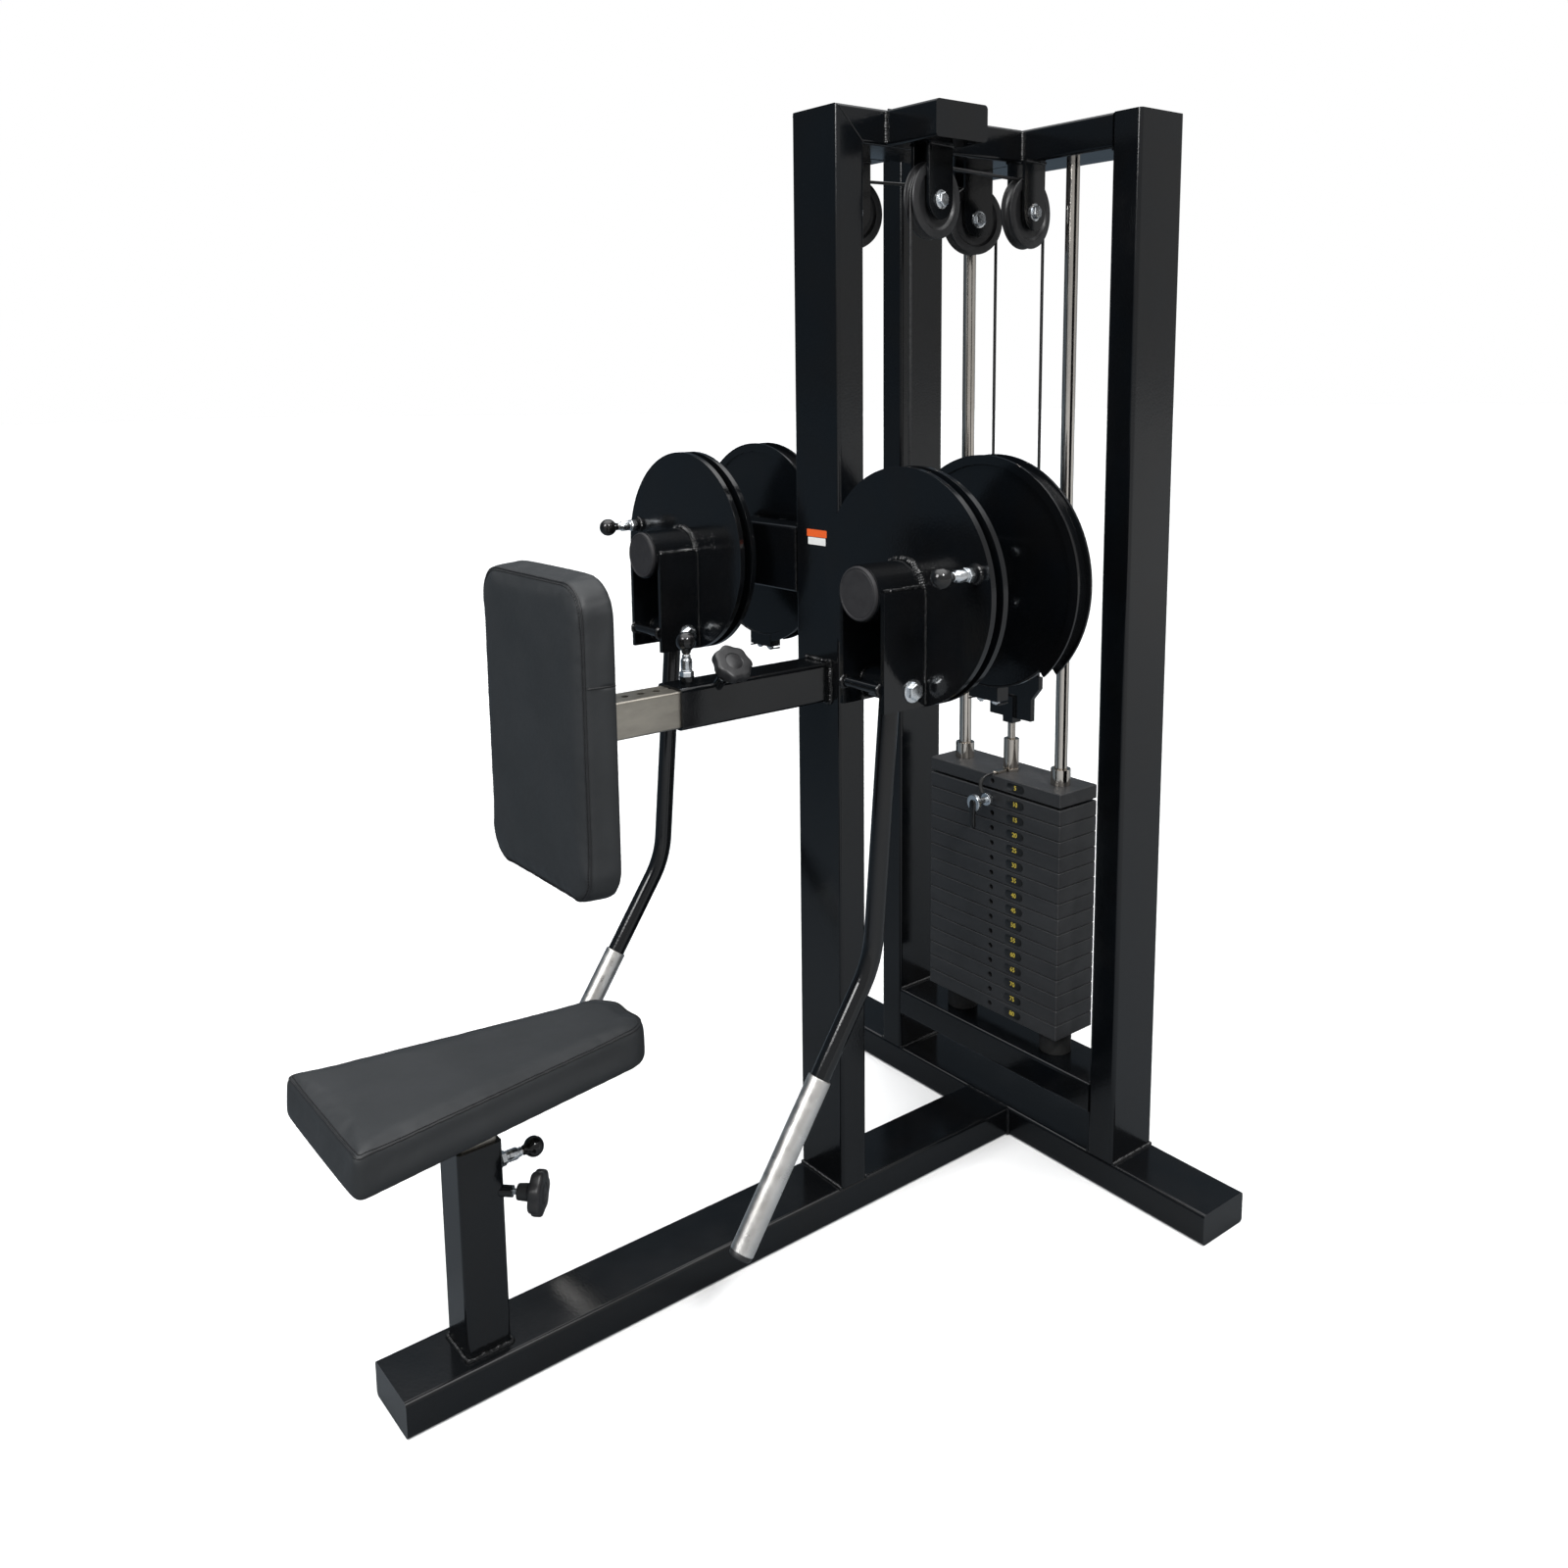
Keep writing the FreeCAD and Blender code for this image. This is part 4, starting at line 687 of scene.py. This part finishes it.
def make_bolts():
    bm = bmesh.new()
    for points in islands("frame_bolts"):
        centre, axis, start, end = spread(points)
        low = Vector(map(min, *points))
        if end - start > 40 * MM:
            for side, at in ((-1, start), (1, end)):
                hex_bolt(bm, facing(axis * side, centre + axis * (at - side * 8 * MM)), 12.6, 8,
                         stud=0)
            pipe(bm, [centre + axis * start * 0.9, centre + axis * end * 0.9], 8 * MM, 16)
        elif low.z > 1.9:
            hex_bolt(bm, facing(Z_AXIS, Vector((centre.x, centre.y, low.z))), 12.6, 7.6)
        else:
            hex_bolt(bm, facing(Y_AXIS, Vector((centre.x, low.y, centre.z))), 7.8, 7.6)
    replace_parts(finished("bolt_heads", bm, "bright_zinc", "frame"), "frame_bolts")
    for name, _ in SIDES:
        bm = bmesh.new()
        for points in islands(f"clamp_bolts_{name}"):
            centre = spread(points)[0]
            top = max(p.z for p in points)
            hex_bolt(bm, facing(-Z_AXIS, Vector((centre.x, centre.y, top))), 7.2, 5.6, stud=3.6)
        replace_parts(finished(f"clamp_screws_{name}", bm, "bright_zinc", f"cam_{name}"), f"clamp_bolts_{name}")
        bm = bmesh.new()
        low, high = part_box(f"hinge_bolt_{name}")
        at = (low + high) / 2
        for side, edge in ((-1, low.x), (1, high.x)):
            hex_bolt(bm, facing(X_AXIS * side, Vector((edge - side * 12 * MM, at.y, at.z))), 14.4, 10)
        pipe(bm, [Vector((low.x + 3 * MM, at.y, at.z)), Vector((high.x - 3 * MM, at.y, at.z))], 9.9 * MM, 24)
        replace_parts(finished(f"hinge_pin_{name}", bm, "bright_zinc", f"arm_{name}"), f"hinge_bolt_{name}")


BALL_RADIUS, BALL_CENTRE = 16.4, 70
BALL_PROFILE = [(BALL_RADIUS * math.sin(a), BALL_CENTRE + BALL_RADIUS * math.cos(a))
                for a in (math.radians(step) for step in range(0, 153, 9))]
BALL_PROFILE += [(7.8, 54.2), (7.5, 51), (6.4, 50), (0, 50)]
PIN_PROFILE = [(0, -2), (4.2, -2), (4.9, -1), (4.9, 52), (0, 52)]
BARREL_PROFILE = [(5.2, 11.2), (9, 11.2), (9.6, 12), (9.6, 22.5), (8.8, 23.2), (8.8, 24.6), (9.6, 25.4),
                  (9.6, 38.6), (8.8, 40.4), (7.2, 43.4), (7.2, 47.2), (6.6, 48), (5.2, 48), (5.2, 11.2)]
NUT_PROFILE = [(5.2, 11.1), (11, 11.1), (12, 12.1), (12, 19), (11, 20), (5.2, 20), (5.2, 11.1)]


def make_plungers():
    """Ball-headed pull pins and their barrels; each is set out from its boss face."""
    seat_low, seat_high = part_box("seat_plunger")
    pad_low, pad_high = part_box("pad_plunger")
    places = [("seat_plunger", "seat_lock", "frame", Y_AXIS,
               Vector(((seat_low.x + seat_high.x) / 2, seat_high.y - 86.5 * MM, (seat_low.z + seat_high.z) / 2))),
              ("pad_plunger", "pad_lock", "frame", Z_AXIS,
               Vector(((pad_low.x + pad_high.x) / 2, (pad_low.y + pad_high.y) / 2, pad_high.z - 86.5 * MM)))]
    for name, _ in SIDES:
        low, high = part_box(f"arm_plunger_{name}")
        places.append((f"arm_plunger_{name}", f"arm_lock_{name}", f"arm_{name}", -Y_AXIS,
                       Vector(((low.x + high.x) / 2, low.y + 86.5 * MM, (low.z + high.z) / 2))))
    barrels = {}
    for node, lock, holder, axis, at in places:
        seat = facing(axis, at)
        ball = finished(node + "_ball", lathe(bmesh.new(), BALL_PROFILE, seat, 40), "gloss_plastic", lock)
        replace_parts(ball, node)
        finished(node + "_pin", lathe(bmesh.new(), PIN_PROFILE, seat, 24), "chrome", lock)
        bm = barrels.setdefault(holder, bmesh.new())
        lathe(bm, BARREL_PROFILE, seat, 40)
        lathe(bm, NUT_PROFILE, seat, 36, lambda a, r: hexagonal(a, r) if r > 6 else 1)
    for holder, bm in barrels.items():
        made = finished(f"{holder}_barrels", bm, "bright_zinc", holder)
        if holder == "frame":
            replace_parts(made, "plunger_barrels")


def make_caps():
    """Moulded caps on the arm hubs."""
    profile = [(0, 5.4), (36.6, 5.5), (37.4, 4.9), (38.2, 5.6), (40, 5.7), (41.4, 4.8), (42, 2.8), (42, 0.2),
               (0, 0.2)]
    for name, side in SIDES:
        low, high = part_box(f"hub_trim_{name}")
        face = mm(side * PIVOT_X, 14, PIVOT_Z)
        bm = lathe(bmesh.new(), profile, facing(-Y_AXIS, face), 72)
        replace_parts(finished(f"hub_cap_{name}", bm, "grey_cap", f"arm_{name}"), f"hub_trim_{name}")


STAR_LOBES = 7


def lobes(angle, radius):
    """Seven rounded lobes, fading towards the hub."""
    share = min(1.0, max(0.0, (radius - 15) / 16))
    return 1 - share * (0.05 - 0.05 * math.cos(STAR_LOBES * angle + math.pi))


def make_knobs():
    star = [(0, 62.2), (13, 62.2), (14, 61.5), (15.2, 61.5), (16.2, 62.8), (28, 62.8), (32.6, 61.8), (34.4, 59.6),
            (34.9, 57), (34.9, 49), (34, 46), (31.4, 44), (20, 43.4), (14.6, 41), (13.4, 37), (12.6, 23),
            (11.8, 20.8), (9, 20.2), (0, 20.2)]
    half = math.sqrt(0.5)
    for node, body, axis in (("seat_knob", "seat_clamp", Vector((half, half, 0))),
                             ("pad_knob", "pad_clamp", Vector((half, 0, half)))):
        corner = Vector(next(j["pos_m"] for j in frame["joints"] if j["child"] == body))
        seat = facing(axis, corner)
        grip = finished(node + "_star", lathe(bmesh.new(), star, seat, 112, lobes), "matte_plastic", body,
                        sharp=math.radians(50))
        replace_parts(grip, node)
        thread = [(0, -3.5)]
        for turn in range(32):
            thread.append((4.9 if turn % 2 else 4.3, -3.5 + 0.75 * turn))
        thread.append((0, 21))
        finished(node + "_screw", lathe(bmesh.new(), thread, seat, 24), "bright_zinc", body)


def make_pulleys():
    """Moulded pulleys with a deep groove, a stepped web and a hub."""
    profile = [(8.1, -12), (19, -12), (20.5, -11), (22, -7.4), (46, -7.4), (49, -9.6), (50.5, -12), (62.6, -12),
               (64.4, -11), (65, -9), (64.4, -7.6), (60.2, -6.2), (56.4, -3.6), (54.7, 0), (56.4, 3.6),
               (60.2, 6.2), (64.4, 7.6), (65, 9), (64.4, 11), (62.6, 12), (50.5, 12), (49, 9.6), (46, 7.4),
               (22, 7.4), (20.5, 11), (19, 12), (8.1, 12), (8.1, -12)]
    bolts = [spread(points) for points in islands("frame_bolts")]
    for place in ("front", "back"):
        for name, _ in SIDES:
            at = middle(f"{place}_pulley_{name}")
            axis = min(bolts, key=lambda bolt: (bolt[0] - at).length)[1]
            bm = lathe(bmesh.new(), profile, facing(axis, at), 96)
            piece = finished(f"{place}_wheel_{name}", bm, "matte_plastic", f"{place}_sheave_{name}")
            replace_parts(piece, f"{place}_pulley_{name}")


def make_grips():
    """Knurled steel sleeves with black plugs."""
    for name, _ in SIDES:
        sleeve, plug = sorted(islands(f"grip_{name}"), key=len, reverse=True)
        parts = sorted((spread(p) for p in (sleeve, plug)), key=lambda part: part[2])
        long_part = max((spread(p) for p in (sleeve, plug)), key=lambda part: part[3] - part[2])
        centre, axis, start, end = long_part
        if axis.z > 0:
            axis, start, end = -axis, -end, -start
        run = (end - start) / MM
        seat = facing(axis, centre + axis * start)
        sleeve_profile = [(16.2, 0), (18.2, 0), (19, 0.9), (19, run - 0.9), (18.2, run), (16.2, run), (16.2, 0)]
        grip = finished(f"grip_sleeve_{name}", lathe(bmesh.new(), sleeve_profile, seat, 64), "knurled_grip",
                        f"handle_{name}")
        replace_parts(grip, f"grip_{name}")
        plug_profile = [(0, run - 4), (15.6, run - 4), (15.6, run + 0.2), (18, run + 0.4), (18.4, run + 2),
                        (18, run + 6), (16, run + 8.2), (12, run + 9), (0, run + 9)]
        finished(f"grip_plug_{name}", lathe(bmesh.new(), plug_profile, seat, 48), "matte_plastic",
                 f"handle_{name}")


def make_selector():
    """The selector pin with its cup, ring and soft pull."""
    low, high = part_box("selector_pin")
    level = high.z - 17 * MM
    seat = facing(Y_AXIS, Vector((0, low.y, level)))
    reach = (high.y - low.y) / MM
    front = 5.0
    pin = [(0, front), (15.4, front), (17, front + 1.2), (17, front + 6.6), (15.8, front + 8), (6.4, front + 8.6),
           (6.4, 40.8), (12, 41.2), (13, 42.2), (13, 47.8), (12, 49), (4.8, 49.4), (4.8, reach - 2),
           (3.4, reach), (0, reach)]
    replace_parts(finished("selector_rod", lathe(bmesh.new(), pin, seat, 48), "bright_zinc", "selector"),
                "selector_pin")
    bm = bmesh.new()
    rings = []
    stations = [(6.2, 5.0, 2.6), (4, 6.4, 3.4), (0, 7.6, 4.2), (-8, 7.8, 4.6), (-20, 6.6, 4.6), (-34, 5.8, 4.4),
                (-44, 6.8, 4.6), (-49, 6.2, 4.2), (-51.4, 4, 2.8)]
    for drop, wide, deep in stations:
        ring = []
        for k in range(24):
            angle = 2 * math.pi * k / 24
            flat = 2.6
            c, s = math.cos(angle), math.sin(angle)
            x = math.copysign(abs(c) ** (2 / flat), c) * wide
            y = math.copysign(abs(s) ** (2 / flat), s) * deep
            ring.append(bm.verts.new(Vector((0, low.y + 5 * MM, level)) + mm(x, y, drop)))
        rings.append(ring)
    for upper, lower in zip(rings, rings[1:]):
        for k in range(24):
            bm.faces.new([upper[k], upper[(k + 1) % 24], lower[(k + 1) % 24], lower[k]])
    bm.faces.new(rings[0])
    bm.faces.new(list(reversed(rings[-1])))
    finished("selector_pull", bm, "gloss_plastic", "selector")


ROUTE = [(0, 646.5, 759), (0, 635.5, 759), (-5, 622.5, 756), (-8, 611, 746), (-5, 608, 731), (0, 608, 723.9)]
ROPE, SLEEVE = 5, 8.4  # thickness of the lanyard and of its lower sleeve, mm


def make_lanyard():
    curve = bpy.data.curves.new("lanyard_cord", "CURVE")
    curve.dimensions = "3D"
    curve.resolution_u = 12
    spline = curve.splines.new("NURBS")
    spline.points.add(len(ROUTE) - 1)
    for point, at in zip(spline.points, ROUTE):
        point.co = (*mm(*at), 1)
    spline.order_u = 3
    spline.use_endpoint_u = True
    route = bpy.data.objects.new("lanyard_cord", curve)
    bpy.context.scene.collection.objects.link(route)
    bpy.context.view_layer.update()
    line = bpy.data.meshes.new_from_object(route)
    path = [v.co.copy() for v in line.vertices]
    bpy.data.objects.remove(route)
    cord = finished("lanyard_line", pipe(bmesh.new(), path, ROPE / 2 * MM, 16), "cable_jacket", "carriage")
    cord.parent = None
    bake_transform(cord)
    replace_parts(cord, "lanyard")
    ferrule = [(2.6, 0), (4.1, 0.4), (4.3, 2), (4.3, 7), (3.9, 8.4), (2.6, 8.8), (2.6, 0)]
    sleeve = finished("lanyard_sleeve", pipe(bmesh.new(), path[len(path) // 2:], SLEEVE / 2 * MM, 16), "rubber",
                      "carriage")
    sleeve.parent = None
    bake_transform(sleeve)
    start = finished("lanyard_ferrule", lathe(bmesh.new(), ferrule, facing(-Y_AXIS, mm(0, 646.2, 759)), 24),
                     "chrome", "carriage")


def make_cables():
    """The cable drops, and the wraps that turn with the wheels."""
    low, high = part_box("cable_drops")
    bm = bmesh.new()
    for points in islands("cable_drops"):
        centre = spread(points)[0]
        heights = np.arange(low.z, high.z + 0.001, 0.02).tolist()
        pipe(bm, [Vector((centre.x, centre.y, z)) for z in heights[:-1] + [high.z]], 3 * MM, 16)
    drops = finished("cable_falls", bm, "cable_jacket", "frame")
    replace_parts(drops, "cable_drops")
    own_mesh(drops)
    for name, side in SIDES:
        centre = mm(side * PIVOT_X, 297, PIVOT_Z)
        arc = [centre + Vector((side * math.cos(a), 0, math.sin(a))) * 190 * MM
               for a in (math.radians(176 + (262 - 176) * k / 40) for k in range(41))]
        finished(f"cable_wrap_{name}", pipe(bmesh.new(), arc, 2.7 * MM, 14), "cable_jacket", f"cam_{name}")


def make_ferrules():
    """Crimp sleeves on the yoke's cable sockets."""
    bm = bmesh.new()
    for side in (-1, 1):
        socket = facing(Z_AXIS, mm(side * 60, 692, 962))
        profile = [(0, 0), (8.6, 0), (9, 1), (9, 5), (8.2, 6), (8.1, 20), (6.4, 24.6), (3.6, 26), (0, 26)]
        lathe(bm, profile, socket, 32)
    finished("cable_sockets", bm, "gloss_plastic", "carriage")


def make_badges():
    """Black oval badges with the plates' numbers, down the front of the stack."""
    font_scale = 13 * MM
    low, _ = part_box("weight_plates")
    face = low.y
    levels = [(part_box("head_plate")[0].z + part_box("head_plate")[1].z) / 2, middle("plate_10").z]
    levels += sorted((spread(p)[0].z for p in islands("weight_plates")), reverse=True)
    badges = {"carriage": bmesh.new(), "frame": bmesh.new()}
    digits = {"carriage": bmesh.new(), "frame": bmesh.new()}
    for count, level in enumerate(levels, start=1):
        body = "carriage" if count <= 2 else "frame"
        oval = []
        for side in (1, -1):
            for k in range(13):
                angle = math.pi * k / 12 - math.pi / 2
                oval.append((side * (14 + 8.6 * math.cos(angle)), side * 8.6 * math.sin(angle)))
        rings = [[badges[body].verts.new(Vector((62 * MM + x * MM * s, face - lift * MM, level + z * MM * s)))
                  for x, z in oval] for s, lift in ((1, -0.2), (1, 0.35), (0.975, 0.6))]
        for a, b in zip(rings, rings[1:]):
            for k in range(len(oval)):
                after = (k + 1) % len(oval)
                badges[body].faces.new([a[k], a[after], b[after], b[k]])
        badges[body].faces.new(rings[-1])
        badges[body].faces.new(list(reversed(rings[0])))
        text = bpy.data.curves.new("digits", "FONT")
        text.body, text.size, text.align_x, text.align_y = str(5 * count), font_scale, "CENTER", "CENTER"
        text.extrude, text.offset = 0.12 * MM, 0.12 * MM
        item = bpy.data.objects.new("digits", text)
        bpy.context.scene.collection.objects.link(item)
        bpy.context.view_layer.update()
        mesh = bpy.data.meshes.new_from_object(item)
        bpy.data.objects.remove(item)
        mesh.transform(Matrix.Translation((62 * MM, face - 0.7 * MM, level)) @ Matrix.Rotation(math.pi / 2, 4, "X"))
        digits[body].from_mesh(mesh)
    for body in badges:
        finished(f"badges_{body}", badges[body], "badge_black", body)
        finished(f"badge_numbers_{body}", digits[body], "badge_yellow", body, smooth=False)


def make_sticker():
    """A blank two-band sticker on the front of the column."""
    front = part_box("front_column")[0].y
    for name, base, high, half in (("orange", 1277, 13, 27), ("white", 1263, 13, 24)):
        bm = bmesh.new()
        edge = outline([(-half, 0), (half, 0), (half, high), (-half, high)], (1.5,) * 4, 1.0)
        rings = [[bm.verts.new(Vector((p.x * MM, front - lift * MM, (base + p.y) * MM))) for p in edge]
                 for lift in (-0.2, 0.25)]
        for k in range(len(edge)):
            after = (k + 1) % len(edge)
            bm.faces.new([rings[0][k], rings[0][after], rings[1][after], rings[1][k]])
        bm.faces.new(rings[1])
        bm.faces.new(list(reversed(rings[0])))
        finished(f"sticker_{name}", bm, f"sticker_{name}", "frame", smooth=False)


# ---------------------------------------------------------------- welds

def rectangle_loop(half_a, half_b, centre, a, b, corner=6.0):
    """A rounded rectangle of points in mm round a centre, in the plane of axes a and b."""
    edge = outline([(-half_a, -half_b), (half_a, -half_b), (half_a, half_b), (-half_a, half_b)],
                   (corner,) * 4, 1.5)
    return [(Vector(centre) + a * p.x + b * p.y) * MM for p in edge]


SPATTER = 70  # droplets thrown on each arm disc by the hub weld


def make_welds():
    rng = random.Random(4)
    bm = bmesh.new()
    bead(bm, rectangle_loop(38.5, 38.5, (0, -520, 61), X_AXIS, Y_AXIS), 4.2 * MM, True)
    bead(bm, rectangle_loop(36.5, 36.5, (0, 181, 1022), X_AXIS, Z_AXIS), 4.6 * MM, True)
    for y in (181, 243):
        bead(bm, [mm(-58, y, 61), mm(58, y, 61)], 3.6 * MM)
    for x in (-1, 1):
        lines = [
            (3.4, [(x * 61, 631, 2), (x * 61, 631, 58)]),
            (3.6, [(x * 264, 634, 61), (x * 264, 750, 61)]),
            (3.6, [(x * 326, 634, 61), (x * 326, 750, 61)]),
            (2.2, [(x * 60, 182, 1174), (x * 60, 182, 1288)]),
            (2.2, [(x * 60, 242, 1174), (x * 60, 242, 1288)]),
            (3.4, [(x * 61, 186, 1292), (x * 61, 238, 1292)]),
            (3.4, [(x * 61, 186, 1170), (x * 61, 238, 1170)]),
            (3.0, [(x * 61, 291, 1944), (x * 61, 291, 1996)]),
            (3.0, [(x * 61, 413, 1944), (x * 61, 413, 1996)]),
            (1.6, [(x * 60, 296, 2000), (x * 60, 408, 2000)]),
            (3.0, [(x * 61, 631, 1944), (x * 61, 631, 1996)]),
            (1.3, [(x * 60, 186, 1996), (x * 60, 240, 1942)]),
        ]
        rail_low, rail_high = (corner.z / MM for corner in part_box("stack_rail"))
        for level in (rail_low - 1, rail_high + 1, 1939):
            lines.append((3.0, [(x * 264, 636, level), (x * 264, 748, level)]))
        for radius, points in lines:
            bead(bm, [mm(*p) for p in points], radius * MM)
        bead(bm, ring_points(mm(x * PIVOT_X, 182, PIVOT_Z), 45.5 * MM, Y_AXIS), 3.8 * MM, True)
        for place in ("front", "back"):
            low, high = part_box(f"{place}_pulley_{'right' if x > 0 else 'left'}")
            across, along = (low.x + high.x) / 2 / MM, (low.y + high.y) / 2 / MM
            turn = math.atan2(x * -55, 395)
            ahead = Vector((math.sin(turn), math.cos(turn), 0))
            aside = Vector((math.cos(turn), -math.sin(turn), 0))
            for off in (-20.5, 20.5):
                centre = Vector((across, along, 1939.5)) + aside * off
                bead(bm, [(centre - ahead * 32) * MM, (centre + ahead * 32) * MM], 2.6 * MM)
    bead(bm, [mm(-56, 632, 60), mm(56, 632, 60)], 1.8 * MM)
    finished("frame_welds", bm, "painted_bead", "frame")

    for name, side in SIDES:
        bm = bmesh.new()
        across = side * PIVOT_X
        bead(bm, ring_points(mm(across, 101.5, PIVOT_Z), 45.5 * MM, Y_AXIS, 90), 5.4 * MM, True)
        for edge in (-1, 1):
            outer = across + edge * 52
            bead(bm, [mm(outer, 101, 1056), mm(outer, 101, 1232)], 2.4 * MM)
            bead(bm, [mm(across + edge * 45.5, 20, 1237.5), mm(across + edge * 45.5, 98, 1237.5)], 4.0 * MM)
            bead(bm, ring_points(mm(across + edge * 41.5, 20, 1088), 8.5 * MM, X_AXIS, 30), 3.4 * MM, True)
            bead(bm, ring_points(mm(across + edge * 42, 76, 1080), 25.5 * MM, X_AXIS, 40), 1.5 * MM, True)
        pin = middle(f"arm_plunger_{name}")
        bead(bm, ring_points(Vector((pin.x, 101.5 * MM, pin.z)), 13 * MM, Y_AXIS, 36), 3.4 * MM, True)
        for k in range(SPATTER):
            spot = mm(across, 102, PIVOT_Z) + Vector((rng.uniform(0.04, 0.11), 0, rng.uniform(0.012, 0.04)))
            drop = rng.uniform(0.5, 1.4)
            lathe(bm, [(drop, -0.3), (drop * 0.8, drop * 0.4), (0, drop * 0.6)], facing(-Y_AXIS, spot), 6)
        finished(f"arm_welds_{name}", bm, "painted_bead", f"arm_{name}")
        bm = bmesh.new()
        bead(bm, ring_points(mm(across, 283.5, PIVOT_Z), 46 * MM, Y_AXIS), 3.2 * MM, True)
        bead(bm, ring_points(mm(across, 284, PIVOT_Z), 182 * MM, Y_AXIS, 160), 1.6 * MM, True)
        for x in (-32.5, 32.5):
            bead(bm, [mm(across + x, 285, PIVOT_Z - 210), mm(across + x, 309, PIVOT_Z - 210)], 1.6 * MM)
        finished(f"cam_welds_{name}", bm, "painted_bead", f"cam_{name}")
        bm = bmesh.new()
        bead(bm, ring_points(mm(across, 126.5, PIVOT_Z), 25.5 * MM, Y_AXIS, 48), 2.0 * MM, True)
        bead(bm, ring_points(mm(across, 137.5, PIVOT_Z), 26 * MM, Y_AXIS, 48), 3.0 * MM, True)
        finished(f"shaft_welds_{name}", bm, "painted_bead", f"cam_{name}")

    bm = bmesh.new()
    low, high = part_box("yoke")
    for y in (-6.5, 6.5):
        bead(bm, [mm(-13, 692 + y, 914), mm(13, 692 + y, 914)], 2.2 * MM)
    finished("yoke_welds", bm, "painted_bead", "carriage")


# ---------------------------------------------------------------- build

make_stage()
for part in frame["record"]["subparts"]:
    cad = nodes[part["node"]]
    wear(cad, CAD_LOOKS[part["material_slot"]])
make_lanyard()
make_cushions()
for node in ("pulley_brackets", "yoke", "stack_bumpers"):
    softened(node, 0.9)
for node, along in (("base_beam", 1), ("rear_foot", 0), ("front_column", 2), ("rear_column_left", 2),
                    ("rear_column_right", 2), ("top_beam", 1), ("top_rear_beam", 0), ("stack_rail", 0),
                    ("pulley_beams", 0), ("pivot_beams", 0), ("seat_sleeve", 2), ("pad_sleeve", 1)):
    softened(node, 2.6, along=along)
softened("carriage_collars", 0.8)
for name, _ in SIDES:
    softened(f"arm_hub_{name}", 0.9)
    softened(f"index_shaft_{name}", 0.9)
    softened(f"cam_wheel_{name}", 0.8)
    softened(f"bearing_{name}", 0.9)
make_bolts()
make_plungers()
make_caps()
make_knobs()
make_pulleys()
make_grips()
make_selector()
make_cables()
make_ferrules()
make_badges()
make_sticker()
make_welds()
